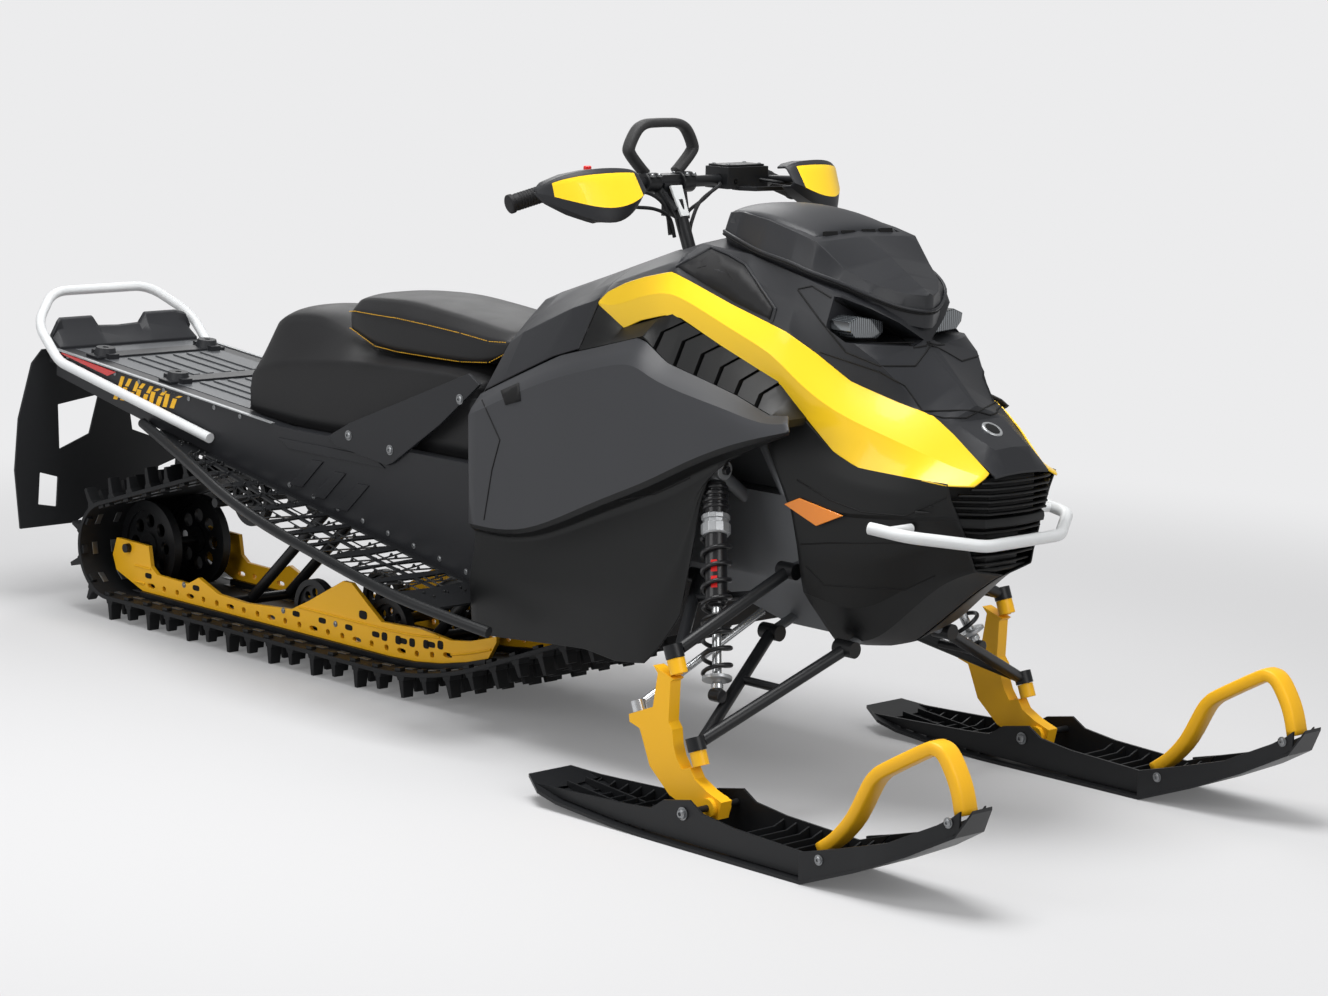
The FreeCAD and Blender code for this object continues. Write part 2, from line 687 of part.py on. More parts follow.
def make_marker_lamps():
    points = [(862, 548), (995, 550), (990, 564), (868, 562)]
    right = plate("marker_lamp", points, "5", "XZ_Plane", 201.8)
    return grouped("marker_lamps", [right, mirrored("marker_lamp_left", right)])


keep("marker_lamps", make_marker_lamps())


def make_front_bumper():
    half = [(1090, -232, 548), (1165, -215, 541), (1243, -100, 524)]
    route = half + [(x, -y, z) for x, y, z in half[::-1]]
    bar = tube(route, 11, 60)
    legs = [cylinder((1120, sign * 222, 545), (1120, sign * 158, 545), 8) for sign in (-1, 1)]
    return solid("front_bumper", bar.multiFuse(legs).removeSplitter())


keep("front_bumper", make_front_bumper())


# Front frame: a casting narrow at its foot, with the steering bearing on two legs above it
frame_top = 558
frame_foot = 304
upper_pivots = [(625, -178, 385), (848, -175, 430)]
lower_pivots = [(770, -132, 300), (955, -132, 300)]
barrel_radius = size("arm_tube_radius") + 4
shock_top, shock_foot = Vector(702, -222, 600), Vector(852, -352, 226)
shock_eye_radius = 15


def pivot_lug(x, y, z, sign):
    """Lug of the casting that reaches out to an arm's inner barrel."""
    root = Vector(x, -40, z + 34)
    reach = Vector(x, y, z) - root
    end = root + reach * (1 - (barrel_radius + size("running_gap")) / reach.Length)
    return cylinder((x, -sign * root.y, root.z), (x, -sign * end.y, end.z), 9)


def make_front_frame():
    stations = [(frame_foot, [(740, -62), (950, -62), (950, 62), (740, 62)]),
                (400, [(tunnel_front, -140), (980, -115), (980, 115), (tunnel_front, 140)]),
                (frame_top, [(tunnel_front, -150), (880, -150), (880, 150), (tunnel_front, 150)])]
    casting = loft("frame_casting", stations, "XY_Plane")
    bearing_low, bearing_high = on_column(-150), on_column(-110)
    housing = cylinder(bearing_low, bearing_high, size("column_radius") + 12)
    middle = on_column(-130)
    legs = [tube([(tunnel_front + 310, sign * 138, frame_top - 10), (tunnel_front + 150, sign * 138, 775),
                  (middle.x + 12, sign * 18, middle.z)], 11, 60) for sign in (-1, 1)]
    rear_legs = [cylinder((tunnel_front + 18, sign * 130, frame_top - 10), (middle.x + 2, sign * 18, middle.z - 8), 11)
                 for sign in (-1, 1)]
    tower_root = Vector(shock_top.x, -135, frame_top - 20)
    reach = shock_top - tower_root
    tower_end = shock_top - reach * ((shock_eye_radius + size("running_gap")) / reach.Length)
    tower = cylinder(tower_root, tower_end, 12)
    towers = [tower, tower.mirror(Vector(0, 0, 0), Vector(0, 1, 0))]
    lugs = []
    for pivots in (upper_pivots, lower_pivots):
        for x, y, z in pivots:
            for sign in (-1, 1):
                lugs.append(pivot_lug(x, y, z, sign))
    bore = cylinder(on_column(-200), on_column(0), size("column_radius") + size("running_gap"))
    support = solid("steering_support", housing.multiFuse(legs + rear_legs).cut(bore))
    return joined("front_frame", [casting, support, solid("frame_lugs", Part.makeCompound(towers + lugs))])


keep("front_frame", make_front_frame())
keep("belly_pan", make_belly_pan())


def make_engine():
    block = doc.addObject("Part::Box", "engine_block")
    block.Length, block.Width, block.Height = 250, 210, 190
    block.Placement = Placement(Vector(tunnel_front + 40, -105, frame_top), Rotation())
    return block


keep("engine_block", make_engine())


# Kingpin line of each ski leg; the studs of both ball joints lie on it
caster = math.radians(size("kingpin_caster"))
kingpin_axis = Vector(-math.sin(caster), 0, math.cos(caster))
kingpin_point = Vector(size("kingpin_x"), -size("kingpin_offset"), size("kingpin_z"))
upper_joint, lower_joint = 36, -130
joint_half_height = 12


def on_kingpin(distance):
    """Point on the right kingpin axis, distance above its reference point."""
    return kingpin_point + kingpin_axis * distance


def joint_housing(centre_distance):
    """Round ball-joint housing with the clearance bore of its stud."""
    low, high = on_kingpin(centre_distance - joint_half_height), on_kingpin(centre_distance + joint_half_height)
    return cylinder(low, high, size("joint_radius"))


def stud_bore(centre_distance):
    """Bore of a housing, closed on the side away from the spindle."""
    clear = size("stud_radius") + size("running_gap")
    return cylinder(on_kingpin(centre_distance - 20), on_kingpin(centre_distance + 8), clear)


def make_arm(label, distance, pivots, pivot_length, share):
    """A-shaped arm: two tubes from inner barrels to a ball-joint housing, and a cross tube part way out."""
    outer = on_kingpin(distance)
    radius = size("arm_tube_radius")
    inner_end = outer + Vector(0, 16, 4)
    pieces = [joint_housing(distance)]
    for x, y, z in pivots:
        pieces.append(cylinder((x - pivot_length / 2, y, z), (x + pivot_length / 2, y, z), barrel_radius))
        pieces.append(cylinder((x, y, z), inner_end, radius))
    first, second = [[a + share * (b - a) for a, b in zip(pivot, inner_end)] for pivot in pivots]
    pieces.append(cylinder(first, second, radius - 3))
    shape = pieces[0].multiFuse(pieces[1:]).cut(stud_bore(distance)).removeSplitter()
    return solid(label, shape)


def make_arms(label, distance, pivots, pivot_length, share):
    right = make_arm(label + "_right", distance, pivots, pivot_length, share)
    return grouped(label, [right, mirrored(label + "_left", right)])


keep("upper_arms", make_arms("upper_arms", upper_joint, upper_pivots, 40, 0.32))
keep("lower_arms", make_arms("lower_arms", lower_joint, lower_pivots, 44, 0.45))


# Front shocks: body, spring and rod from the frame to the lower arm
def wound_spring(start, along, length, radius, wire, turns):
    """Helical spring between two seats, its ends a gap clear of them."""
    clear = wire + size("running_gap")
    pitch = (length - 2 * clear) / turns
    helix = Part.makeHelix(pitch, length - 2 * clear, radius)
    ring = Part.Wire(Part.Circle(Vector(radius, 0, 0), Vector(0, radius, pitch / (2 * math.pi)), wire).toShape())
    coil = Part.Wire(helix.Edges).makePipeShell([ring], True, True)
    coil.Placement = Placement(start + along * clear, Rotation(Vector(0, 0, 1), along))
    return coil


def make_front_shock():
    top, foot = shock_top, shock_foot
    along = (foot - top).normalize()
    length = (foot - top).Length
    body = cylinder(top + along * 24, top + along * 128, 21).fuse(cylinder(top, top + along * 30, 10))
    rod = cylinder(top + along * 120, foot, 8)
    eye = cylinder(top - Vector(22, 0, 0), top + Vector(22, 0, 0), shock_eye_radius)
    lower_eye = cylinder(foot - Vector(16, 0, 0), foot + Vector(16, 0, 0), 12)
    spring_start, spring_end = 122, length - 34
    seat = cylinder(top + along * spring_end, top + along * (spring_end + 8), 28)
    collar = cylinder(top + along * (spring_start - 20), top + along * spring_start, 26)
    ribs = [cylinder(top + along * step, top + along * (step + 4), 23) for step in (34, 46, 58, 70)]
    damper = body.multiFuse([rod, eye, lower_eye, seat, collar] + ribs).removeSplitter()
    spring = wound_spring(top + along * spring_start, along, spring_end - spring_start, 23, 4.2, 8)
    return [solid("front_shock", damper), solid("front_spring", spring)]


right_shock = make_front_shock()
left_shock = [mirrored(piece.Name + "_left", piece) for piece in right_shock]
keep("front_shocks", grouped("front_shocks", right_shock + left_shock))


# Spindles: forged ski legs that turn on the two ball joints; the steering arm's flat end faces up
steer_pad = Vector(752, -size("kingpin_offset"), 192)


def make_spindle():
    rear_rise = math.tan(caster)
    outline_points = [(794, 284), (806, 272), (796, steer_pad.z + (796 - steer_pad.x) * rear_rise),
                      (736, steer_pad.z + (736 - steer_pad.x) * rear_rise), (738, 172), (764, 165),
                      (771, 150), (792, 102), (843, 60), (905, 40), (965, 40), (972, 72), (936, 84), (905, 100),
                      (893, 118), (872, 112), (858, 130), (850, 150), (846, 178), (836, 190), (838, 262),
                      (846, 268)]
    half = 13
    body = plate("spindle_web", outline_points, str(2 * half), "XZ_Plane", size("kingpin_offset"))
    boss = solid("spindle_top", cylinder(on_kingpin(-4), on_kingpin(upper_joint - joint_half_height - 1), 16).fuse(
        cylinder(on_kingpin(-6), on_kingpin(upper_joint + 5), size("stud_radius"))))
    lower_top = lower_joint - joint_half_height - 1
    lower_boss = solid("spindle_low", cylinder(on_kingpin(lower_top - 26), on_kingpin(lower_top), 15).fuse(
        cylinder(on_kingpin(lower_top - 20), on_kingpin(lower_joint + 5), size("stud_radius"))))
    foot = solid("spindle_foot", cylinder((size("ski_bolt_x"), -size("kingpin_offset") - 22, size("ski_bolt_z")),
                                          (size("ski_bolt_x"), -size("kingpin_offset") + 22, size("ski_bolt_z")), 17))
    joined_leg = joined("spindle_body", [body, boss, lower_boss, foot])
    bore = solid("spindle_bore", cylinder((size("ski_bolt_x"), -600, size("ski_bolt_z")),
                                          (size("ski_bolt_x"), -300, size("ski_bolt_z")),
                                          size("ski_bolt_radius") + size("running_gap")))
    return cut("spindle_right", joined_leg, bore)


pair("spindle", make_spindle())


# Tie rods: each ball sits over the flat end of its steering arm
def make_tie_rod():
    normal = kingpin_axis
    pad_gap = size("running_gap")
    seat = steer_pad + normal * pad_gap
    head = cylinder(seat, seat + normal * 20, 13)
    middle = seat + normal * 11
    rod = cylinder(middle, (772, -160, 342), 7)
    return solid("tie_rod_right", head.fuse(rod).removeSplitter())


pair("tie_rod", make_tie_rod())


# Skis: a channelled runner with side walls, saddle plates, keel and bolt, and a handle loop
ski_y = -size("ski_stance") / 2


def ski_profile(lift, thickness):
    """Side outline of a slice of the runner between its underside and a top surface."""
    under = [(size("ski_tail_x"), 38), (640, 14), (780, 3), (860, 0), (1240, 0), (1350, 42), (1450, 88),
             (1530, 132), (size("ski_tip_x"), 175)]
    top = [(x, z + thickness + lift) for x, z in under]
    return under + top[::-1]


def make_ski():
    half = size("ski_width") / 2
    sole = plate("ski_sole", ski_profile(0, size("ski_plate")), "Dims.ski_width", "XZ_Plane", -ski_y)
    trim_half = [(size("ski_tail_x"), half - 34), (size("ski_tail_x") + 60, half), (1240, half),
                 (1420, half - 14), (1520, half - 44), (size("ski_tip_x") + 5, half - 64)]
    plan = [(x, y + ski_y) for x, y in trim_half] + [(x, -y + ski_y) for x, y in trim_half[::-1]]
    trim = plate("ski_plan", plan, "600", "XY_Plane", 0)
    runner = doc.addObject("Part::Common", "ski_runner")
    runner.Base = sole
    runner.Tool = trim
    wall_points = [(560, 36), (661, 40), (800, 46), (864, 51), (895, 72), (958, 84), (989, 66), (1062, 57),
                   (1232, 50), (1300, 72), (1240, 8), (1000, 8), (780, 12), (640, 22)]
    walls = []
    for sign in (-1, 1):
        walls.append(plate("ski_wall", wall_points, "5", "XZ_Plane", -ski_y + sign * (half - 20)))
    bolt = solid("ski_bolt", cylinder((size("ski_bolt_x"), ski_y - half + 17, size("ski_bolt_z")),
                                      (size("ski_bolt_x"), ski_y + half - 17, size("ski_bolt_z")),
                                      size("ski_bolt_radius")))
    return joined("ski_right", [runner] + walls + [bolt])


pair("ski", make_ski())


def cut_by_ski(shape):
    """Trim a shape's feet to the runner's top face with the running gap."""
    gap = size("running_gap")
    below = ski_profile(gap, size("ski_plate"))
    top = below[len(below) // 2:]
    corners = [Vector(x, 0, z) for x, z in top] + [Vector(top[-1][0], 0, -50), Vector(top[0][0], 0, -50)]
    block = Part.Face(Part.makePolygon(corners + corners[:1])).extrude(Vector(0, -700, 0))
    return shape.cut(block)


def make_ski_handle():
    outer = [(1186, 0), (1192, 39), (1247, 88), (1296, 163), (1327, 206), (1454, 278), (1504, 257), (1547, 195),
             (1542, 130)]
    inner = [(1496, 100), (1498, 182), (1449, 241), (1360, 196), (1317, 114), (1245, 47), (1240, 0)]
    strap = plate("handle_strap", outer + inner, "30", "XZ_Plane", -ski_y)
    doc.recompute()
    return solid("ski_handle_right", cut_by_ski(strap.Shape))


pair("ski_handle", make_ski_handle())


# Steering: column, riser, bar, strap, guards and controls, placed from the straight bar's centre
bar_x, bar_z, bar_radius = size("bar_x"), size("bar_z"), size("bar_radius")


def make_steering_post():
    column = cylinder(on_column(-size("column_length")), on_column(20), size("column_radius"))
    riser = [cylinder(on_column(0) + Vector(0, sign * 12, 0), (bar_x, sign * 34, bar_z), 10) for sign in (-1, 1)]
    half = size("bar_half_length")
    right = [(bar_x - 22, -half, bar_z - 30), (bar_x + 5, -0.72 * half, bar_z)]
    bar = tube(right + [(x, -y, z) for x, y, z in right[::-1]], bar_radius, 60)
    clamp = Part.makeBox(40, 124, 26, Vector(bar_x - 26, -62, bar_z - 11))
    insert = Part.makeBox(8, 40, 62, Vector(bar_x + 12, -20, bar_z - 62))
    return solid("steering_post", column.multiFuse(riser + [bar, clamp, insert]).removeSplitter())


keep("steering_post", make_steering_post())


def make_grab_strap():
    x = bar_x - 14
    foot = bar_z + 15 + size("running_gap")
    half = [(x, -50, foot), (x, -50, foot + 18), (x, -74, bar_z + 63), (x, -40, bar_z + 110)]
    return solid("grab_strap", tube(half + [(x, -y, z) for _, y, z in half[::-1]], 11, 30))


keep("grab_strap", make_grab_strap())


def from_bar(stations):
    """Right-hand stations whose points are measured from the bar's centre, as loft stations."""
    return [(-y, [(bar_x + dx, bar_z + dz) for dx, dz in points]) for y, points in stations]


def make_hand_guard():
    stations = [(-372, [(55, -27), (95, -20), (99, 26), (61, 18)]),
                (-300, [(115, -62), (176, -56), (145, 38), (105, 28)]),
                (-200, [(105, -12), (155, -4), (133, 40), (99, 30)])]
    guard = loft("hand_guard", from_bar(stations), "XZ_Plane")
    stay_start = bar_x + 5 + bar_radius + size("running_gap")
    stay = solid("guard_stay", cylinder((stay_start, -262, bar_z), (bar_x + 135, -262, bar_z + 6), 7))
    return joined("hand_guard_right", [guard, stay])


guard_right = make_hand_guard()
keep("hand_guards", grouped("hand_guards", [guard_right, mirrored("hand_guard_left", guard_right)]))


def make_guard_panels():
    stations = [(-370, [(95.5, -14), (100, -17), (104, 20), (99, 24)]),
                (-300, [(176.5, -48), (182, -52), (152, 34), (146.5, 30)]),
                (-212, [(157.5, -2), (163, -5), (143, 30), (137.5, 28)])]
    skin = loft("guard_panel_skin", from_bar(stations), "XZ_Plane")
    right = cut("guard_panel", skin, guard_right)
    return grouped("guard_panels", [right, mirrored("guard_panel_left", right)])


keep("guard_panels", make_guard_panels())


def make_bar_controls():
    """Brake reservoir and lever on the left, switch block and thumb lever on the right."""
    x = bar_x + 5
    bore = solid("bar_bore", cylinder((x, -500, bar_z), (x, 500, bar_z), bar_radius + size("running_gap")))
    reservoir = solid("reservoir", Part.makeBox(62, 112, 42, Vector(x - 36, 138, bar_z - 16)))
    brake_plan = [(x + 8, 168), (x + 30, 166), (x + 58, 184), (x + 66, 250), (x + 64, 332), (x + 56, 332),
                  (x + 55, 252), (x + 44, 196), (x + 8, 196)]
    brake_lever = plate("brake_lever", brake_plan, "8", "XY_Plane", bar_z - 15)
    switches = solid("switches", Part.makeBox(44, 60, 40, Vector(x - 22, -190, bar_z - 20)))
    thumb_plan = [(x - 30, -196), (x - 12, -186), (x - 12, -172), (x - 40, -176), (x - 58, -214), (x - 50, -220)]
    thumb_lever = plate("thumb_lever", thumb_plan, "14", "XY_Plane", bar_z - 10)
    left = cut("left_control", joined("brake_control", [reservoir, brake_lever]), bore)
    right = cut("right_control", joined("throttle_control", [switches, thumb_lever]), bore)
    return grouped("bar_controls", [left, right])


keep("bar_controls", make_bar_controls())


# Track: one belt around wheels and rails, its lugs in rows
def tangent_points(first, second):
    """Ends of the straight run from one round to the next, both on the right of the run."""
    (ax, az, ar), (bx, bz, br) = first, second
    distance = math.hypot(bx - ax, bz - az)
    heading = math.atan2(bz - az, bx - ax)
    normal = heading - math.acos((ar - br) / distance)
    return ((ax + ar * math.cos(normal), az + ar * math.sin(normal)),
            (bx + br * math.cos(normal), bz + br * math.sin(normal)))


belt_gauge = size("belt_gauge")
lug_height = size("lug_height")
belt_floor = lug_height + belt_gauge
rear_wheel = (size("rear_wheel_x"), belt_floor + size("rear_wheel_radius"), size("rear_wheel_radius"))
rail_round = (size("rail_curve_start"), belt_floor + size("rail_curve_radius"), size("rail_curve_radius"))
sprocket = (size("sprocket_x"), size("sprocket_z"), size("sprocket_radius"))
carrier = (size("carrier_x"), size("carrier_z"), size("carrier_radius"))


def belt_wire(offset):
    """The belt's line, offset outwards, as edges that run anticlockwise seen from the right side."""
    rounds = [(x, z, r + offset) for x, z, r in (rear_wheel, rail_round, sprocket, carrier)]
    runs = [tangent_points(a, b) for a, b in zip(rounds, rounds[1:] + rounds[:1])]
    edges = []
    for number, (x, z, radius) in enumerate(rounds):
        arrive, leave = runs[number - 1][1], runs[number][0]
        start = math.atan2(arrive[1] - z, arrive[0] - x)
        stop = math.atan2(leave[1] - z, leave[0] - x)
        if stop < start:
            stop += 2 * math.pi
        if stop - start > 1e-6:
            middle = (start + stop) / 2
            centre = Vector(x + radius * math.cos(middle), 0, z + radius * math.sin(middle))
            edges.append(Part.Arc(Vector(arrive[0], 0, arrive[1]), centre, Vector(leave[0], 0, leave[1])).toShape())
        there = runs[number][1]
        edges.append(Part.LineSegment(Vector(leave[0], 0, leave[1]), Vector(there[0], 0, there[1])).toShape())
    return Part.Wire(edges)


def make_track():
    half = size("track_width") / 2
    outside, inside = belt_wire(belt_gauge), belt_wire(0)
    ring = Part.Face(outside).cut(Part.Face(inside))
    belt = ring.extrude(Vector(0, 2 * half, 0))
    belt.translate(Vector(0, -half, 0))
    count = round(outside.Length / size("track_pitch"))
    lugs = []
    root, tip = size("lug_gauge") + 5, size("lug_gauge")
    for number in range(count):
        distance = (number + 0.5) * outside.Length / count
        point, tangent = point_along(outside, distance)
        normal = Vector(tangent.z, 0, -tangent.x)
        low, high = point - normal * 1.5, point + normal * lug_height
        corners = [low - tangent * root / 2, low + tangent * root / 2, high + tangent * tip / 2,
                   high - tangent * tip / 2]
        face = Part.Face(Part.makePolygon(corners + corners[:1]))
        spans = ((-half + 4, -62), (62, half - 4)) if number % 2 else ((-110, 110),)
        for first, last in spans:
            lug = face.extrude(Vector(0, last - first, 0))
            lug.translate(Vector(0, first, 0))
            lugs.append(lug)
    return solid("track", belt.multiFuse(lugs))


def point_along(wire, distance):
    """Point and forward direction at a distance along a wire."""
    for edge in wire.OrderedEdges:
        if distance <= edge.Length:
            parameter = edge.getParameterByLength(distance)
            point, tangent = edge.valueAt(parameter), edge.tangentAt(parameter)
            if edge.Orientation == "Reversed":
                parameter = edge.getParameterByLength(edge.Length - distance)
                point, tangent = edge.valueAt(parameter), edge.tangentAt(parameter) * -1
            return point, tangent
        distance -= edge.Length


keep("track", make_track())


# Slide rails with their shoes
def rail_foot(offset, xs):
    """Points on the rail curve's underside, offset above the belt."""
    radius = size("rail_curve_radius") - offset
    points = []
    for x in xs:
        run = max(0.0, x - rail_round[0])
        points.append((x, rail_round[1] - math.sqrt(radius * radius - run * run)))
    return points


rail_xs = (rear_wheel[0] + 53, rail_round[0], -230, -150, -75, -8)


def make_rail():
    foot = rail_foot(size("shoe_height"), rail_xs)
    top = [(15, 150), (15, 163), (-65, 140), (-124, 132), (-219, 140), (-341, 134), (-378, 158), (-440, 200),
           (-468, 200), (-580, 140), (-640, 112), (-796, 100), (-894, 104), (-966, 129), (-1004, 110)]
    axle_x = rear_wheel[0]
    top += [(axle_x + 107, 112), (axle_x + 84, 127), (axle_x + 75, 172), (axle_x - 46, 174), (axle_x - 61, 133),
            (axle_x - 47, 100)]
    holes = []
    for number in range(22):
        x = -1140 + 48 * number
        z = line_at([(px, pz, 0) for px, pz in foot], x)[0] + 16
        half_long, half_high = (13, 5) if number % 3 == 0 else (6, 6)
        holes.append([(x - half_long, z - half_high / 2), (x - half_long / 2, z - half_high),
                      (x + half_long / 2, z - half_high), (x + half_long, z - half_high / 2),
                      (x + half_long, z + half_high / 2), (x + half_long / 2, z + half_high),
                      (x - half_long / 2, z + half_high), (x - half_long, z + half_high / 2)])
    rail = plate("rail_body", foot + top, "Dims.rail_gauge", "XZ_Plane", size("rail_offset"), holes)
    slot = solid("rail_slot", cylinder((rear_wheel[0], -200, rear_wheel[1]), (rear_wheel[0], 0, rear_wheel[1]),
                                       size("axle_radius") + size("running_gap")))
    return cut("rail_right", rail, slot)


pair("rail", make_rail())


def make_slide_shoes():
    low = rail_foot(size("running_gap"), rail_xs)
    high = rail_foot(size("shoe_height"), rail_xs)
    right = plate("slide_shoe", low + high[::-1], "Dims.shoe_width", "XZ_Plane", size("rail_offset"))
    return grouped("slide_shoes", [right, mirrored("slide_shoe_left", right)])


keep("slide_shoes", make_slide_shoes())


def wheel(x, z, radius, y, width):
    """Wheel with a recessed web between rim and hub, and round windows through the web."""
    disc = cylinder((x, y - width / 2, z), (x, y + width / 2, z), radius)
    recess = 0.3 * width
    for side in (-1, 1):
        start = y + side * width / 2
        groove = cylinder((x, start, z), (x, start - side * recess, z), radius * 0.8)
        hub = cylinder((x, start, z), (x, start - side * recess, z), radius * 0.28)
        disc = disc.cut(groove.cut(hub))
    windows = []
    count = 8
    for number in range(count):
        turn = 2 * math.pi * number / count
        wx, wz = x + 0.54 * radius * math.cos(turn), z + 0.54 * radius * math.sin(turn)
        windows.append(cylinder((wx, y - width, wz), (wx, y + width, wz), 0.15 * radius))
    return disc.cut(Part.makeCompound(windows))


def make_track_wheels():
    gap = size("running_gap")
    rail_inner = size("rail_offset") - size("rail_gauge") / 2
    width = size("wheel_width")
    groups = []
    x, z, radius = rear_wheel
    axle = cylinder((x, -size("rail_offset") - 16, z), (x, size("rail_offset") + 16, z), size("axle_radius"))
    idlers = [wheel(x, z, radius - gap, sign * size("idler_offset"), width) for sign in (-1, 1)]
    groups.append(axle.multiFuse(idlers))
    for bogie_x in (-600, -350):
        bogie_z = belt_floor + size("bogie_radius") + gap
        for sign in (-1, 1):
            stub = cylinder((bogie_x, sign * (size("wheel_offset") - 20), bogie_z),
                            (bogie_x, sign * rail_inner, bogie_z), size("axle_radius"))
            groups.append(stub.fuse(wheel(bogie_x, bogie_z, size("bogie_radius"), sign * size("wheel_offset"), width)))
    inside = tunnel_side - sheet_gauge
    x, z, radius = carrier
    carrier_axle = cylinder((x, -inside, z), (x, inside, z), size("axle_radius"))
    wheels = [wheel(x, z, radius - gap, sign * size("wheel_offset"), width) for sign in (-1, 1)]
    groups.append(carrier_axle.multiFuse(wheels))
    x, z, radius = sprocket
    drive = cylinder((x, -inside, z), (x, inside, z), size("drive_axle_radius"))
    teeth = 8
    for y in (-95, 95):
        disc = cylinder((x, y - 12, z), (x, y + 12, z), radius - 14)
        for number in range(teeth):
            turn = number * 360 / teeth
            tooth = Part.makeBox(14, 24, 30, Vector(-7, y - 12, radius - 34))
            tooth.rotate(Vector(0, 0, 0), Vector(0, 1, 0), turn)
            tooth.translate(Vector(x, 0, z))
            disc = disc.fuse(tooth)
        drive = drive.fuse(disc)
    groups.append(drive)
    return grouped("track_wheels", [solid("track_wheel", shape.removeSplitter()) for shape in groups])


keep("track_wheels", make_track_wheels())


def make_suspension_arms():
    """Two swing arms from the tunnel to the rails, with a shock and a torque spring."""
    inside = tunnel_side - sheet_gauge
    rail_inner = size("rail_offset") - size("rail_gauge") / 2
    arms = []
    for (top_x, top_z), (low_x, low_z) in (((-30, 325), (-262, 105)), ((-560, 372), (-880, 86))):
        cross = cylinder((top_x, -inside, top_z), (top_x, inside, top_z), 13)
        lower = cylinder((low_x, -rail_inner, low_z), (low_x, rail_inner, low_z), 11)
        legs = [cylinder((top_x, sign * 52, top_z), (low_x, sign * 52, low_z), 12) for sign in (-1, 1)]
        shape = cross.multiFuse([lower] + legs)
        arms.append(shape)
    damper_foot = (-480, 96)
    foot_bar = cylinder((damper_foot[0], -rail_inner, damper_foot[1]), (damper_foot[0], rail_inner, damper_foot[1]), 11)
    damper = cylinder((-30, 0, 325), (damper_foot[0], 0, damper_foot[1]), 8)
    can = cylinder((-75, 0, 302), (-300, 0, 187), 21)
    arms[0] = arms[0].multiFuse([damper, can, foot_bar])
    return grouped("suspension_arms", [solid("swing_arm", shape.removeSplitter()) for shape in arms])


keep("suspension_arms", make_suspension_arms())

doc.recompute()

failed = [item.Name for item in doc.Objects if "Invalid" in item.State or "Error" in item.State]
if failed:
    raise RuntimeError("objects that did not recompute: " + ", ".join(failed))
for label, item in nodes.items():
    if item.Shape.isNull() or not item.Shape.isValid() or not item.Shape.Solids:
        raise RuntimeError("no valid solid in " + label)

os.makedirs("parts", exist_ok=True)
for label, item in nodes.items():
    item.Shape.exportStep("parts/%s.step" % label)
print("%d sub-parts written" % len(nodes))
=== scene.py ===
"""A mountain snowmobile in Blender: finishes, soft parts and small fittings round its CAD frame.

The scene is in metres; the points of its own meshes are written in millimetres."""
import math
import bpy
import bmesh
from mathutils import Matrix, Vector


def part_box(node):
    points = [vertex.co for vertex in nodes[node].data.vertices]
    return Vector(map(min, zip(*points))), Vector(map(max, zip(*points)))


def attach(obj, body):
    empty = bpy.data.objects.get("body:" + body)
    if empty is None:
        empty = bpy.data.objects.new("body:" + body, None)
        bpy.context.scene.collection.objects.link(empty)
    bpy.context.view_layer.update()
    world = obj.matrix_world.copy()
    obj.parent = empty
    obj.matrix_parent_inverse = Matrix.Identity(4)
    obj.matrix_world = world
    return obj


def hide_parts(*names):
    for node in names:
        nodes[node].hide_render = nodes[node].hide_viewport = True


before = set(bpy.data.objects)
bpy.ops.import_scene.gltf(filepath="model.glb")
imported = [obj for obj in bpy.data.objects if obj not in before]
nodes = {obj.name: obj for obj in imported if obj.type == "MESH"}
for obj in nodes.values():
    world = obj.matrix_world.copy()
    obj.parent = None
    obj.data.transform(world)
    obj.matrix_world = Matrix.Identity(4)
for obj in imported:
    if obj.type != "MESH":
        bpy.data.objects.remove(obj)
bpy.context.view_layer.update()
bpy.context.scene.view_settings.view_transform = "Standard"


# The view of the photograph
# A long lens, about 94 mm on a 36 mm sensor, stands some seven metres off the right front corner and a
# little above the handlebar, tipped down nine degrees and rolled less than two.
camera_place = Vector((5.0241, -4.5978, 1.5679))
camera_yaw, camera_pitch, camera_roll = (math.radians(angle) for angle in (135.496, -9.4565, 1.606))
camera_lens, sensor_width = 93.51, 36

look = Vector((math.cos(camera_pitch) * math.cos(camera_yaw), math.cos(camera_pitch) * math.sin(camera_yaw),
               math.sin(camera_pitch)))
level_right = look.cross(Vector((0, 0, 1))).normalized()
level_up = level_right.cross(look)
roll = Matrix.Rotation(-camera_roll, 3, look)
camera_data = bpy.data.cameras.new("camera")
camera_data.lens = camera_lens
camera_data.sensor_width = sensor_width
camera = bpy.data.objects.new("camera", camera_data)
camera.matrix_world = Matrix((roll @ level_right, roll @ level_up, -look)).transposed().to_4x4()
camera.location = camera_place
bpy.context.collection.objects.link(camera)
bpy.context.scene.camera = camera


# Floor, backdrop and studio light
# The machine stands on a seamless pale paper sweep under large soft lamps. The camera sees the sweep as an
# even pale grey that fades into the backdrop, and the machine's own soft shadow stays on it.
def linear(code):
    """Linear colour of an sRGB hex value."""
    channels = [int(code[place:place + 2], 16) / 255 for place in (1, 3, 5)]
    return tuple(c / 12.92 if c <= 0.04045 else ((c + 0.055) / 1.055) ** 2.4 for c in channels) + (1.0,)


def add(tree, kind, settings=None, links=None):
    """A node with its settings and links; a setting is an input's value or else a property."""
    node = tree.nodes.new(kind)
    for name, value in (settings or {}).items():
        if isinstance(name, int) or name in node.inputs:
            node.inputs[name].default_value = value
        else:
            setattr(node, name, value)
    for name, source in (links or {}).items():
        tree.links.new(source, node.inputs[name])
    return node


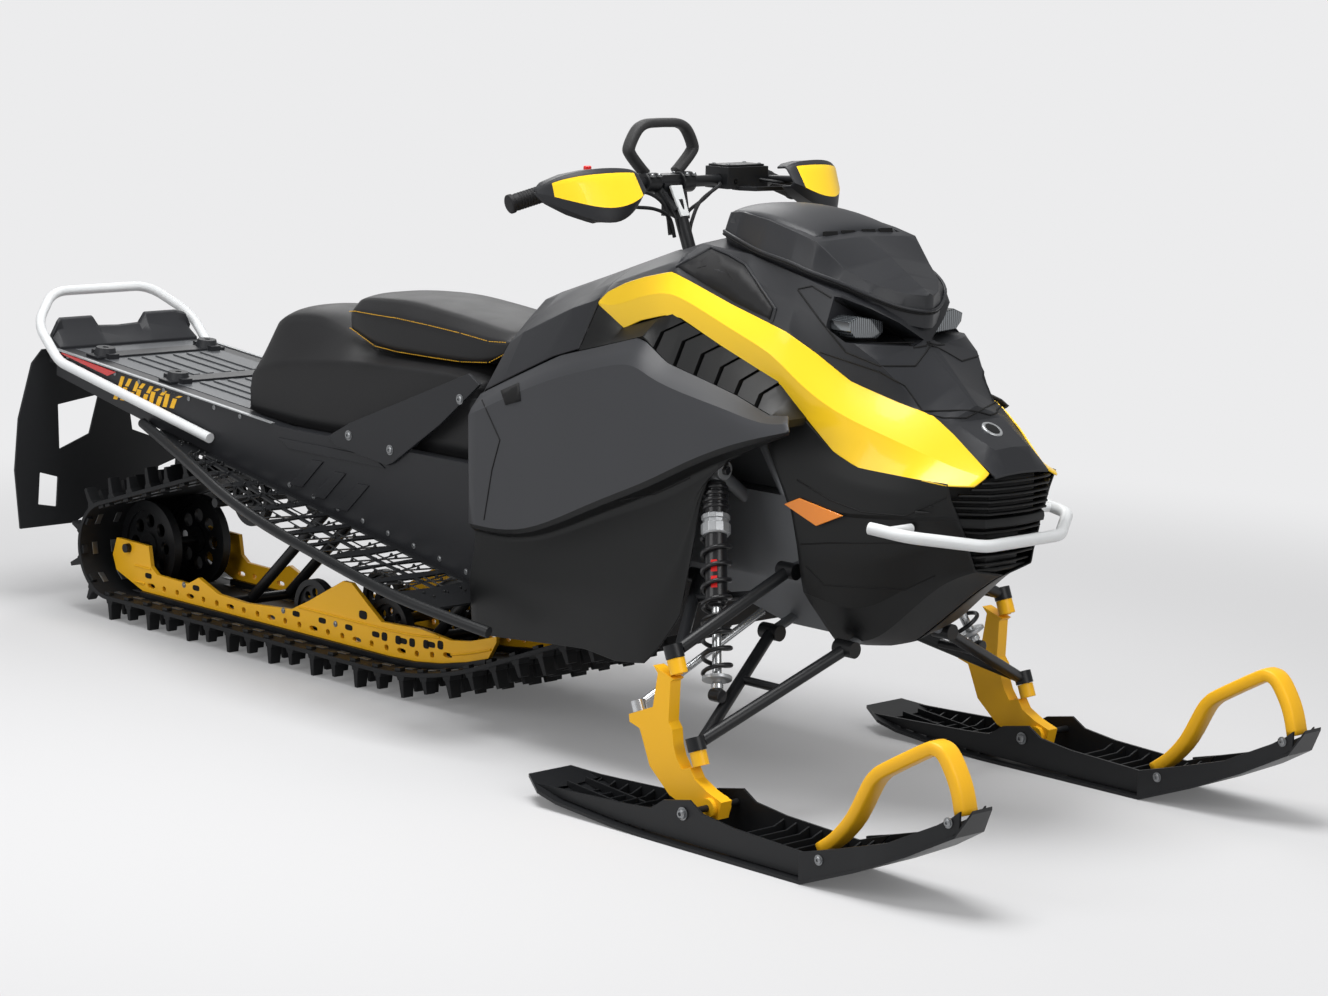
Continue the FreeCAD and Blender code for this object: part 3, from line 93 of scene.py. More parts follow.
def new_material(name):
    """Empty node material with its tree."""
    material = bpy.data.materials.new(name)
    material.use_nodes = True
    material.node_tree.nodes.clear()
    return material, material.node_tree


def link_piece(name, mesh):
    """Object for a mesh, in the scene."""
    piece = bpy.data.objects.new(name, mesh)
    bpy.context.collection.objects.link(piece)
    return piece


backdrop_grey = "#ECECED"
fade_start, fade_end = 1.75, 3.6
floor_reach = 30
floor_lift, room_light = 0.13, 0.36


def paper_sweep():
    """Matt white paper, which the camera sees a little lifted near the machine and as the backdrop far off."""
    material, tree = new_material("seamless_paper")
    place = add(tree, "ShaderNodeTexCoord")
    flat = add(tree, "ShaderNodeVectorMath", {"operation": "LENGTH"}, {0: place.outputs["Object"]})
    far = add(tree, "ShaderNodeMapRange", {"interpolation_type": "SMOOTHSTEP", "From Min": fade_start,
                                           "From Max": fade_end}, {"Value": flat.outputs["Value"]})
    ray = add(tree, "ShaderNodeLightPath")
    seen = add(tree, "ShaderNodeMath", {"operation": "MAXIMUM"}, {0: ray.outputs["Is Camera Ray"],
                                                                  1: ray.outputs["Is Glossy Ray"]})
    paper = add(tree, "ShaderNodeBsdfDiffuse", {"Color": linear("#BDBDBE")})
    lift = add(tree, "ShaderNodeEmission", {"Color": linear(backdrop_grey), "Strength": floor_lift})
    none = add(tree, "ShaderNodeEmission", {"Strength": 0.0})
    lifted = add(tree, "ShaderNodeMixShader", links={0: seen.outputs[0], 1: none.outputs[0], 2: lift.outputs[0]})
    near = add(tree, "ShaderNodeAddShader", links={0: paper.outputs[0], 1: lifted.outputs[0]})
    wall = add(tree, "ShaderNodeEmission", {"Color": linear(backdrop_grey), "Strength": 1.0})
    beyond = add(tree, "ShaderNodeMath", {"operation": "MULTIPLY"}, {0: far.outputs[0], 1: seen.outputs[0]})
    surface = add(tree, "ShaderNodeMixShader", links={0: beyond.outputs[0], 1: near.outputs[0],
                                                      2: wall.outputs[0]})
    add(tree, "ShaderNodeOutputMaterial", links={"Surface": surface.outputs[0]})
    return material


floor_mesh = bpy.data.meshes.new("floor")
floor_mesh.from_pydata([(sx * floor_reach, sy * floor_reach, 0) for sx, sy in ((-1, -1), (1, -1), (1, 1), (-1, 1))],
                       [], [(0, 1, 2, 3)])
floor = link_piece("floor", floor_mesh)
floor.data.materials.append(paper_sweep())

world = bpy.data.worlds.new("studio")
bpy.context.scene.world = world
world.use_nodes = True
sky = world.node_tree
sky.nodes.clear()
ray = add(sky, "ShaderNodeLightPath")
seen = add(sky, "ShaderNodeMath", {"operation": "MAXIMUM"}, {0: ray.outputs["Is Camera Ray"],
                                                             1: ray.outputs["Is Transmission Ray"]})
room = add(sky, "ShaderNodeBackground", {"Color": linear("#FFFFFF"), "Strength": room_light})
seen_room = add(sky, "ShaderNodeBackground", {"Color": linear(backdrop_grey), "Strength": 1.0})
mix = add(sky, "ShaderNodeMixShader", links={0: seen.outputs[0], 1: room.outputs[0], 2: seen_room.outputs[0]})
add(sky, "ShaderNodeOutputWorld", links={0: mix.outputs[0]})


def soft_lamp(name, place, target, across, power):
    """Square studio lamp aimed at a point."""
    light = bpy.data.lights.new(name, "AREA")
    light.size = across
    light.energy = power
    lamp = bpy.data.objects.new(name, light)
    lamp.location = place
    lamp.rotation_euler = (Vector(target) - Vector(place)).to_track_quat("-Z", "Y").to_euler()
    bpy.context.collection.objects.link(lamp)


soft_lamp("top_lamp", (0.3, -0.6, 4.2), (0.1, 0, 0.5), 2.6, 185)
soft_lamp("front_lamp", (4.6, -0.6, 2.6), (0.6, 0, 0.5), 2.4, 60)
soft_lamp("side_lamp", (-0.6, -4.4, 2.4), (-0.3, 0, 0.4), 2.6, 62)
soft_lamp("back_lamp", (-3.5, 2.6, 3.2), (-0.3, 0, 0.5), 2.4, 50)


# Tunnel and running boards
# The tunnel is folded aluminium sheet with a satin black coat, which gives a faint orange peel. A grey tread
# plate with stamped ribs is riveted to its roof, and the boards' outer tubes are welded on.
def finish_of(name, colour, roughness, grain_mm=0.0, grain_depth=0.0, metallic=0.0, coat=0.0, mottle=0.05):
    """A surface whose colour and gloss drift in clouds about 140 mm across, with a grain grain_mm across."""
    material, tree = new_material(name)
    place = add(tree, "ShaderNodeTexCoord")
    cloud = add(tree, "ShaderNodeTexNoise", {"Scale": 7.0, "Detail": 4.0}, {"Vector": place.outputs["Object"]})
    dark, light = (tuple(min(1.0, c * share) for c in linear(colour)[:3]) + (1.0,)
                   for share in (1 - mottle, 1 + mottle))
    shade = add(tree, "ShaderNodeMix", {"data_type": "RGBA", 6: dark, 7: light}, {0: cloud.outputs["Fac"]})
    gloss = add(tree, "ShaderNodeMapRange", {"To Min": roughness - 0.05, "To Max": roughness + 0.05},
                {"Value": cloud.outputs["Fac"]})
    shader = add(tree, "ShaderNodeBsdfPrincipled", {"Metallic": metallic, "Coat Weight": coat,
                                                    "Coat Roughness": 0.08, "Specular IOR Level": 0.3},
                 {"Base Color": shade.outputs[2], "Roughness": gloss.outputs[0]})
    if grain_mm:
        grain = add(tree, "ShaderNodeTexNoise", {"Scale": 1000 / grain_mm, "Detail": 2.0},
                    {"Vector": place.outputs["Object"]})
        relief = add(tree, "ShaderNodeBump", {"Strength": 0.4, "Distance": grain_depth},
                     {"Height": grain.outputs["Fac"]})
        tree.links.new(relief.outputs[0], shader.inputs["Normal"])
    add(tree, "ShaderNodeOutputMaterial", links={"Surface": shader.outputs[0]})
    return material


def shade_smooth(piece):
    """Smooth shading on every face of a piece."""
    for polygon in piece.data.polygons:
        polygon.use_smooth = True


def soften(piece, width):
    """Rounds the piece's sharp edges by a small width and shades the rest smooth."""
    shade_smooth(piece)
    weld = piece.modifiers.new("weld", "WELD")
    weld.merge_threshold = 0.00002
    bevel = piece.modifiers.new("edge_round", "BEVEL")
    bevel.width, bevel.segments, bevel.limit_method = width, 2, "ANGLE"
    bevel.angle_limit = math.radians(28)
    shading = piece.modifiers.new("flat_faces", "WEIGHTED_NORMAL")
    shading.weight = 60


def finish(names, material, edge_round):
    """Gives CAD nodes their material and small rounds on their edges."""
    for name in names:
        nodes[name].data.materials.clear()
        nodes[name].data.materials.append(material)
        soften(nodes[name], edge_round)


def together(parts):
    """One list of points and one of faces from several."""
    points, faces = [], []
    for some_points, some_faces in parts:
        base = len(points)
        points += some_points
        faces += [tuple(base + index for index in face) for face in some_faces]
    return points, faces


def add_piece(name, parts, material, body, edge_round=0.0):
    """A piece that rides on a body, made of one or more meshes of points in millimetres and faces."""
    points, faces = together(parts)
    mesh = bpy.data.meshes.new(name)
    mesh.from_pydata([[c / 1000 for c in point] for point in points], [], faces)
    shaped = bmesh.new()
    shaped.from_mesh(mesh)
    bmesh.ops.recalc_face_normals(shaped, faces=shaped.faces)
    shaped.to_mesh(mesh)
    shaped.free()
    mesh.materials.append(material)
    piece = link_piece(name, mesh)
    if edge_round:
        soften(piece, edge_round)
    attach(piece, body)
    return piece


def slab(outline, thickness):
    """Points and faces of a flat outline given a thickness vector."""
    count = len(outline)
    points = [tuple(point) for point in outline]
    points += [tuple(a + b for a, b in zip(point, thickness)) for point in outline]
    sides = [(k, (k + 1) % count, (k + 1) % count + count, k + count) for k in range(count)]
    return points, [tuple(range(count))[::-1], tuple(range(count, 2 * count))] + sides


def turned(profile, centre, axis, sides=24):
    """A turned form: profile is (distance along the axis, radius) from one end to the other."""
    along = Vector(axis).normalized()
    across = along.orthogonal().normalized()
    beside = along.cross(across)
    points, faces = [], []
    for distance, radius in profile:
        for k in range(sides):
            turn = 2 * math.pi * k / sides
            points.append(tuple(Vector(centre) + along * distance
                                + (across * math.cos(turn) + beside * math.sin(turn)) * radius))
    for ring in range(len(profile) - 1):
        for k in range(sides):
            a, b = ring * sides + k, ring * sides + (k + 1) % sides
            faces.append((a, b, b + sides, a + sides))
    faces.append(tuple(range(sides))[::-1])
    last = (len(profile) - 1) * sides
    faces.append(tuple(range(last, last + sides)))
    return points, faces


def screw(place, axis, radius=7.0, height=3.5):
    """Round-headed screw with a washer face, standing on a surface."""
    profile = [(-1, radius * 1.3), (0.8, radius * 1.3), (0.9, radius), (height * 0.7, radius),
               (height, radius * 0.7), (height, radius * 0.4), (height * 0.5, radius * 0.38), (height * 0.5, 0.05)]
    return turned(profile, place, axis, 16)


# Satin powder coats hide the metal and show a faint orange peel; the bare and plated metals catch the lamps
coated_sheet = finish_of("coated_aluminium_sheet", "#222326", 0.4, 1.6, 0.00004)
tread_plate = finish_of("stamped_grey_aluminium", "#55575A", 0.42, 1.2, 0.00006, metallic=0.25)
bright_edge = finish_of("rolled_aluminium_edge", "#A9ABAD", 0.35, 0.8, 0.00003, metallic=0.6)
zinc_screw = finish_of("zinc_plated_screw", "#8C8E90", 0.32, metallic=0.85)
yellow_film = finish_of("yellow_vinyl_film", "#F0B828", 0.35, mottle=0.03)
board_coat = finish_of("black_coated_board", "#151618", 0.42, 1.4, 0.00005)

finish(["tunnel"], coated_sheet, 0.0012)
finish(["running_board_right", "running_board_left"], board_coat, 0.0012)

tunnel_low, tunnel_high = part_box("tunnel")
tunnel_side, tunnel_rear = tunnel_high[1] * 1000, tunnel_low[0] * 1000
roof_rear_z, roof_knee_x, roof_z = tunnel_high[2] * 1000, -588, 515
board_slope = 0.173  # how far the running boards rise for each millimetre towards the rear


def roof_at(x):
    """Height of the tunnel's roof, which rises behind its knee."""
    return roof_z + max(0.0, roof_knee_x - x) * (roof_rear_z - roof_z) / (roof_knee_x - tunnel_rear)


def roof_strip(x_rear, x_front, y_right, y_left, height):
    """Flat bar on the sloping roof."""
    base = [(x_rear, y_right, roof_at(x_rear)), (x_front, y_right, roof_at(x_front)),
            (x_front, y_left, roof_at(x_front)), (x_rear, y_left, roof_at(x_rear))]
    return slab(base, (0, 0, height))


# Roof: the tread plate with its ribs, two bars for the cargo anchors, and a bright rail along each edge
plate_rear, plate_front = tunnel_rear + 14, -752
ribs = [roof_strip(plate_rear, plate_front, -158, 158, 1.2)]
for y in (-100, -62, -24, 24, 62, 100):
    for rear, front in ((-1262, -1066), (-996, plate_front - 12)):
        ribs.append(roof_strip(rear, front, y - 8, y + 8, 4.5))
add_piece("roof_tread_plate", ribs, tread_plate, "chassis", 0.001)
bars = [roof_strip(x - 22, x + 22, -176, 176, 6) for x in (-1302, -1031)]
add_piece("anchor_bars", bars, coated_sheet, "chassis", 0.0012)
edges = [roof_strip(tunnel_rear, roof_knee_x - 30, y - 5, y + 5, 3)
         for y in (-tunnel_side, tunnel_side)]
add_piece("roof_edge_rails", edges, bright_edge, "chassis", 0.0008)


def side_stripe(x, width, low, high, lean, sign):
    """Slanted bar of film on the tunnel's side."""
    y = sign * (tunnel_side + 0.1)
    outline = [(x, y, low), (x + width, y, low), (x + width + lean, y, high), (x + lean, y, high)]
    return slab(outline, (0, sign * 0.5, 0))


# Film stripes on the tunnel's sides, each of nine cut in two
stripe_rear, stripe_pitch = -1186, 26
stripes = []
for sign in (-1, 1):
    for number in range(9):
        x = stripe_rear + stripe_pitch * number
        foot = roof_at(x) - 66 + 3 * number
        middle = foot + (30 if number % 2 else 22)
        stripes.append(side_stripe(x, 15, foot, middle, 12, sign))
        stripes.append(side_stripe(x + 16 + 2 * (number % 3), 13, middle + 3, roof_at(x) - 12, 14, sign))
add_piece("tunnel_side_stripes", stripes, yellow_film, "chassis")

# Pressed ribs on the tunnel's sides, three slanted ones and a long one above them
stamp_rear = -560
grooves = []
for sign in (-1, 1):
    y = sign * (tunnel_side + 0.2)
    for x in (stamp_rear, stamp_rear + 74, stamp_rear + 148):
        foot = 398 - 0.2 * (x - stamp_rear)
        outline = [(x, y, foot), (x + 44, y, foot), (x + 112, y, foot + 62), (x + 76, y, foot + 62)]
        grooves.append(slab(outline, (0, sign * 2.6, 0)))
    outline = [(-600, y, 492), (-290, y, 492), (-250, y, 472), (-560, y, 472)]
    grooves.append(slab(outline, (0, sign * 2.2, 0)))
add_piece("tunnel_side_stampings", grooves, coated_sheet, "chassis", 0.0018)

# Rivets under the roof's edge and along the boards, and screws at the engine's mounts
rivets = []
for sign in (-1, 1):
    for x in range(-1360, -640, 90):
        rivets.append(screw((x, sign * tunnel_side, roof_at(x) - 8), (0, sign, 0), 4.0, 2.0))
    for x in range(-560, 90, 80):
        rivets.append(screw((x, sign * tunnel_side, 300 - board_slope * x), (0, sign, 0), 4.5, 2.2))
    for x, z in ((-361, 526), (-230, 513), (-20, 640), (20, 520)):
        rivets.append(screw((x, sign * (tunnel_side + 7), z), (0, sign, 0), 8.0, 4.0))
add_piece("tunnel_screws", rivets, zinc_screw, "chassis")


# Rear bumper, tail housing, lamps, flap and cargo anchors
# The bumper is bent steel tube with a silver-white powder coat. The housing is moulded plastic, the flap is
# thick flexible sheet with moulded ribs, and the winged anchors are turned in place to lock a load.
# The white coat is smooth and even, the mouldings have a dull grain, and the lenses are glossy and deep red
white_coat = finish_of("silver_white_powder_coat", "#D8DADB", 0.34, 0.7, 0.00003, mottle=0.02)
black_moulding = finish_of("moulded_polypropylene", "#26272A", 0.48, 0.7, 0.00008)
flap_sheet = finish_of("flexible_flap_sheet", "#232426", 0.55, 1.1, 0.0001)
red_lens = finish_of("red_reflector_lens", "#C8201F", 0.18, coat=0.7, mottle=0.02)

finish(["rear_bumper"], white_coat, 0.0008)
finish(["tail_housing"], black_moulding, 0.003)
finish(["cargo_anchors"], black_moulding, 0.0012)
finish(["snow_flap"], flap_sheet, 0.0015)
finish(["tail_lenses"], red_lens, 0.001)
finish(["frame_braces"], coated_sheet, 0.0015)


# Tail cap
# A moulded plastic cap closes the tunnel's rear end, screwed over the housing. It is a low ramp with a raised
# block at each corner and a dip between them.
def grid_faces(rows, columns):
    """Faces between the points of a grid that is listed row by row."""
    return [(r * columns + c, r * columns + c + 1, (r + 1) * columns + c + 1, (r + 1) * columns + c)
            for r in range(rows - 1) for c in range(columns - 1)]


tail_front = max(corner[0] for corner in nodes["tail_housing"].bound_box) * 1000
tail_low = min(corner[2] for corner in nodes["tail_housing"].bound_box) * 1000
tail_roof, tail_top, tail_half, corner_cut = tail_low + 36, 652, 190, 14
tail_sides = [(-tail_half, 0.45), (-176, 0.92), (-160, 1.0), (-72, 1.0), (-56, 0.62), (0, 0.58), (56, 0.62),
              (72, 1.0), (160, 1.0), (176, 0.92), (tail_half, 0.45)]
tail_rows = [(tail_front, 0.0), (tail_front - 14, 0.28), (tail_front - 30, 0.6), (-1444, 0.92), (-1452, 1.0),
             (-1459, 0.84), (-1460, 0.1), (-1456, -0.6)]
tail_points = [(x + (corner_cut if abs(y) > 170 and x < -1440 else 0), y,
                tail_roof + 3 + share * rise * (tail_top - tail_roof))
               for x, share in tail_rows for y, rise in tail_sides]
across = len(tail_sides)
foot, last = len(tail_points), (len(tail_rows) - 1) * across
tail_points += [(x, y, tail_low) for x, y in ((tail_front, -tail_half), (tail_front, tail_half),
                                              (-1446, tail_half), (-1446, -tail_half))]
tail_faces = grid_faces(len(tail_rows), across)
tail_faces += [tuple(range(across)) + (foot + 1, foot), (foot, foot + 1, foot + 2, foot + 3),
               tuple(range(last, last + across)) + (foot + 2, foot + 3),
               tuple(range(0, last + 1, across)) + (foot + 3, foot),
               tuple(range(across - 1, last + across, across)) + (foot + 2, foot + 1)]
tail_cap = add_piece("tail_cap", [(tail_points, tail_faces)], black_moulding, "chassis", 0.002)
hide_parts("tail_housing")


# Seat and tank
# The seat base and its rear hump are foam under black vinyl with a fine leather grain, moulded to the tunnel.
# A thin stitched pad lies on it; the seams are yellow thread, sewn about three stitches to the centimetre.
def leather_vinyl(name, colour):
    """Vinyl pressed with a leather grain of cells about 1.3 mm across, which breaks up its soft sheen."""
    material, tree = new_material(name)
    place = add(tree, "ShaderNodeTexCoord")
    cells = add(tree, "ShaderNodeTexVoronoi", {"feature": "DISTANCE_TO_EDGE", "Scale": 1000 / 1.3},
                {"Vector": place.outputs["Object"]})
    # Soft clouds about 70 mm across in gloss and colour; the colour is a little lighter where a fold of vinyl would
    # rise over the foam: painted light, as the fold is not in the shape
    fold_gloss_and_painted_light = add(tree, "ShaderNodeTexNoise", {"Scale": 14.0, "Detail": 5.0}, {"Vector": place.outputs["Object"]})
    shade = add(tree, "ShaderNodeMix", {"data_type": "RGBA", 6: linear(colour), 7: linear("#1B1B1D")},
                {0: fold_gloss_and_painted_light.outputs["Fac"]})
    gloss = add(tree, "ShaderNodeMapRange", {"To Min": 0.4, "To Max": 0.58}, {"Value": fold_gloss_and_painted_light.outputs["Fac"]})
    relief = add(tree, "ShaderNodeBump", {"Strength": 0.35, "Distance": 0.0002},
                 {"Height": cells.outputs["Distance"]})
    shader = add(tree, "ShaderNodeBsdfPrincipled", {"Sheen Weight": 0.02, "Specular IOR Level": 0.32},
                 {"Base Color": shade.outputs[2], "Roughness": gloss.outputs[0], "Normal": relief.outputs[0]})
    add(tree, "ShaderNodeOutputMaterial", links={"Surface": shader.outputs[0]})
    return material


# Black vinyl with a fine grain, which leaves only a dull sheen on its curves; the thread is twisted polyester
seat_vinyl = leather_vinyl("grained_seat_vinyl", "#101011")
pad_vinyl = leather_vinyl("grained_pad_vinyl", "#121213")
yellow_thread = finish_of("yellow_polyester_thread", "#D9A520", 0.7)


def crease_columns(piece, width, sharpness, end_sharpness):
    """Creases a grid's edges that run along its columns, and those of its first and last row."""
    last = (len(piece.data.vertices) - 1) // width
    creases = piece.data.attributes.new("crease_edge", "FLOAT", "EDGE")
    for edge in piece.data.edges:
        (row_a, column_a), (row_b, column_b) = (divmod(v, width) for v in edge.vertices)
        if column_a == column_b:
            creases.data[edge.index].value = sharpness.get(column_a, 0.0)
        elif row_a == row_b and row_a in (0, last):
            creases.data[edge.index].value = end_sharpness


def subdivide(piece):
    """Smooth subdivision of a piece's faces, shaded smooth."""
    shade_smooth(piece)
    rounding = piece.modifiers.new("rounding", "SUBSURF")
    rounding.levels = rounding.render_levels = 2


def shell_from_stations(name, stations, material, body, creases):
    """Smooth closed form through cross-sections, each (x, [(y, z) from the middle out and round]) for one half.

    creases names the columns whose edges stay crisp, with their sharpness."""
    rows = []
    for x, section in stations:
        rows.append([(x, y, z) for y, z in section if y > 0][::-1] + [(x, -y, z) for y, z in section])
    count, width = len(rows), len(rows[0])
    faces = grid_faces(count, width)
    faces += [tuple(range(width)), tuple(range((count - 1) * width, count * width))[::-1]]
    faces += [(r * width, (r + 1) * width, (r + 1) * width + width - 1, r * width + width - 1)
              for r in range(count - 1)]
    piece = add_piece(name, [([point for row in rows for point in row], faces)], material, body)
    middle = width - len(stations[0][1])
    both_sides = {middle + side * column: amount for column, amount in creases for side in (-1, 1)}
    crease_columns(piece, width, both_sides, 0.7)
    subdivide(piece)
    return piece


# Seat base, from its rear end forward to the console
seat_base = shell_from_stations("seat_base_cover", [
    (-741, [(0, 728), (60, 722), (96, 700), (132, 640), (160, 606), (168, 580), (166, 532)]),
    (-722, [(0, 744), (66, 740), (104, 722), (140, 656), (168, 616), (171, 590), (171, 530)]),
    (-668, [(0, 757), (66, 754), (104, 736), (144, 672), (169, 634), (172, 606), (172, 524)]),
    (-582, [(0, 760), (64, 757), (100, 740), (142, 680), (168, 648), (172, 622), (172, 517)]),
    (-520, [(0, 740), (62, 738), (98, 722), (140, 682), (168, 656), (172, 632), (172, 516)]),
    (-440, [(0, 704), (62, 704), (98, 700), (140, 684), (168, 664), (172, 640), (172, 516)]),
    (-384, [(0, 686), (62, 686), (98, 686), (140, 682), (168, 670), (172, 648), (172, 516)]),
    (-230, [(0, 688), (62, 688), (98, 688), (140, 685), (168, 674), (172, 654), (172, 516)]),
    (-50, [(0, 690), (62, 690), (98, 690), (140, 688), (168, 680), (172, 662), (172, 516)]),
    (-13, [(0, 670), (62, 670), (98, 670), (140, 668), (166, 660), (170, 640), (170, 516)]),
], seat_vinyl, "chassis", creases=((2, 0.86), (4, 0.88), (6, 1.0)))
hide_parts("seat_base")

# Pad on the seat base, with its rolled edge
pad_stations = [
    (-476, [(0, 760), (60, 760), (96, 756), (106, 746), (106, 728), (60, 730)]),
    (-470, [(0, 796), (62, 795), (98, 784), (118, 764), (116, 726), (60, 722)]),
    (-440, [(0, 803), (66, 802), (102, 794), (128, 768), (126, 722), (60, 716)]),
    (-370, [(0, 807), (66, 806), (102, 798), (134, 768), (132, 700), (60, 690)]),
    (-298, [(0, 810), (66, 809), (102, 801), (135, 768), (134, 696), (60, 688)]),
    (-200, [(0, 801), (66, 800), (102, 793), (135, 764), (134, 696), (60, 689)]),
    (-100, [(0, 789), (66, 789), (102, 783), (135, 758), (134, 697), (60, 691)]),
    (-20, [(0, 777), (66, 777), (102, 771), (132, 750), (131, 704), (60, 697)]),
    (24, [(0, 773), (62, 773), (98, 768), (124, 752), (122, 728), (60, 726)]),
    (32, [(0, 758), (58, 758), (92, 754), (112, 748), (112, 738), (58, 736)]),
]
seat_pad = shell_from_stations("seat_pad_cover", pad_stations, pad_vinyl, "chassis",
                               creases=((2, 0.75), (3, 0.9), (4, 0.6)))
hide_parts("seat_pad")


def smooth_route(points, steps):
    """Points along a smooth line through the given ones."""
    last = len(points) - 1
    route = []
    for k in range(last):
        p0, p1, p2, p3 = (Vector(points[min(max(k + j, 0), last)]) for j in (-1, 0, 1, 2))
        for step in range(steps):
            u = step / steps
            route.append(0.5 * (2 * p1 + (p2 - p0) * u + (2 * p0 - 5 * p1 + 4 * p2 - p3) * u * u
                                + (3 * p1 - p0 - 3 * p2 + p3) * u ** 3))
    return route + [Vector(points[last])]


def swept(route, ring, normal, cyclic=False):
    """A ring of (across, beside) offsets carried along a route that lies about a plane with this normal."""
    points, faces = [], []
    count, sides = len(route), len(ring)
    for k, place in enumerate(route):
        before = route[(k - 1) % count] if cyclic else route[max(k - 1, 0)]
        after = route[(k + 1) % count] if cyclic else route[min(k + 1, count - 1)]
        along = (after - before).normalized()
        across = along.cross(Vector(normal)).normalized()
        beside = across.cross(along)
        points += [tuple(place + across * a + beside * b) for a, b in ring]
    for k in range(count if cyclic else count - 1):
        for j in range(sides):
            a, b = k * sides + j, k * sides + (j + 1) % sides
            c, d = ((k + 1) % count) * sides + (j + 1) % sides, ((k + 1) % count) * sides + j
            faces.append((a, b, c, d))
    if not cyclic:
        faces += [tuple(range(sides))[::-1], tuple(range((count - 1) * sides, count * sides))]
    return points, faces


def oval(half_across, half_beside, sides=16, square=1.0):
    """Ring of a rounded section; square under 1 flattens its sides."""
    ring = []
    for k in range(sides):
        turn = 2 * math.pi * k / sides
        c, s = math.cos(turn), math.sin(turn)
        ring.append((math.copysign(abs(c) ** square, c) * half_across,
                     math.copysign(abs(s) ** square, s) * half_beside))
    return ring


def stitches(name, route, material, body, stitch=4.2, gap=2.2, thick=0.9):
    """Row of short threads along a route of points."""
    parts = []
    carried = 0.0
    for start, end in zip(route, route[1:]):
        start, end = Vector(start), Vector(end)
        run = (end - start).length
        along = (end - start) / run
        place = carried
        while place + stitch < run:
            profile = [(0, 0.3 * thick), (0.2 * stitch, thick), (0.8 * stitch, thick), (stitch, 0.3 * thick)]
            parts.append(turned(profile, start + along * place, along, 5))
            place += stitch + gap
        carried = max(0.0, place - run)
    add_piece(name, parts, material, body)


def along_pad(column, lift, aside=2):
    """Route over the pad's surface along one of its columns, both ends left free."""
    return [(x, section[column][0] + aside, section[column][1] + lift) for x, section in pad_stations[1:-1]]


# Two rows of stitches along each side of the pad, over and under its edge
for side, flip in (("left", 1), ("right", -1)):
    for column, lift in ((3, -1.0), (4, 3.0)):
        route = [(x, flip * y, z) for x, y, z in along_pad(column, lift)]
        stitches("pad_seam_%s_%d" % (side, column), route, yellow_thread, "chassis")

# Fuel tank: blow-moulded black plastic with a waxy, slightly uneven surface
tank_plastic = finish_of("blow_moulded_polyethylene", "#1A1B1D", 0.5, 1.4, 0.0001)
finish(["fuel_tank"], tank_plastic, 0.006)


# Bodywork
# The panels are injection-moulded plastic about 4 mm thick, clipped and screwed to the frame. The dark ones
# have a fine satin texture, the yellow ones are glossy, and the louvres and belly are coarser grained.
# The satin texture spreads the lamps into soft patches; the gloss yellow keeps sharp highlights
satin_dark = finish_of("satin_black_abs", "#26272A", 0.4, 0.6, 0.00003)
# Lighter grey, only on the side panels' upper face: painted light where that face tips up to the lamps
painted_light_grey = finish_of("satin_abs_painted_light_grey", "#38393C", 0.4, 0.6, 0.00003)
gloss_yellow = finish_of("gloss_yellow_abs", "#FFD024", 0.3, coat=0.3, mottle=0.012)
amber_lens = finish_of("amber_reflector_lens", "#F08A1D", 0.18, coat=0.7, mottle=0.04)
# The darkest of the black mouldings: black plastic made darker still to stand in for the deep shade among the louvre
# blades and under the nose, so partly painted shade
black_with_painted_shade = finish_of("grained_black_polypropylene_painted_shade", "#0C0D0E", 0.46, 0.8, 0.00008)

finish(["hood", "console", "head_pod"], satin_dark, 0.0022)
finish(["side_louvres"], black_with_painted_shade, 0.0015)
panel_thickness = 0.0035
crisp = 0.84  # a crease above this also breaks the shading


def moulded_panel(name, columns, materials, creases, node, body="chassis"):
    """A moulded panel and its twin on the left.

    Each column is a line along the panel, from its upper edge to its lower; creases gives each column's
    sharpness; materials is (material, first column, and where need be first and last row) for each colour."""
    width = len(columns)
    faces = grid_faces(len(columns[0]), width)
    for side, sign in (("right", -1), ("left", 1)):
        points = [(x, sign * y, z) for row in zip(*columns) for x, y, z in row]
        piece = add_piece("%s_%s" % (name, side), [(points, faces)], materials[0][0], body)
        polygons, vertices = piece.data.polygons, piece.data.vertices
        if body == "chassis":
            outward = sum(face.normal.y * face.area for face in polygons) * sign
        else:
            heart = sum((vert.co for vert in vertices), Vector()) / len(vertices)
            outward = sum((face.center - heart).dot(face.normal) * face.area for face in polygons)
        if outward < 0:
            piece.data.flip_normals()
        for material, first, *span in materials[1:]:
            piece.data.materials.append(material)
            for number, face in enumerate(faces):
                row, column = divmod(face[0], width)
                if column >= first and (not span or span[0] <= row < span[1]):
                    piece.data.polygons[number].material_index = len(piece.data.materials) - 1
        crease_columns(piece, width, dict(enumerate(creases)), 0.8)
        for edge in piece.data.edges:
            column_a, column_b = (v % width for v in edge.vertices)
            edge.use_edge_sharp = column_a == column_b and creases[column_a] > crisp
        wall = piece.modifiers.new("wall", "SOLIDIFY")
        wall.thickness, wall.offset = panel_thickness, -1
        wall.edge_crease_rim = 0.7
        subdivide(piece)
        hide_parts(node % side if "%" in node else node)
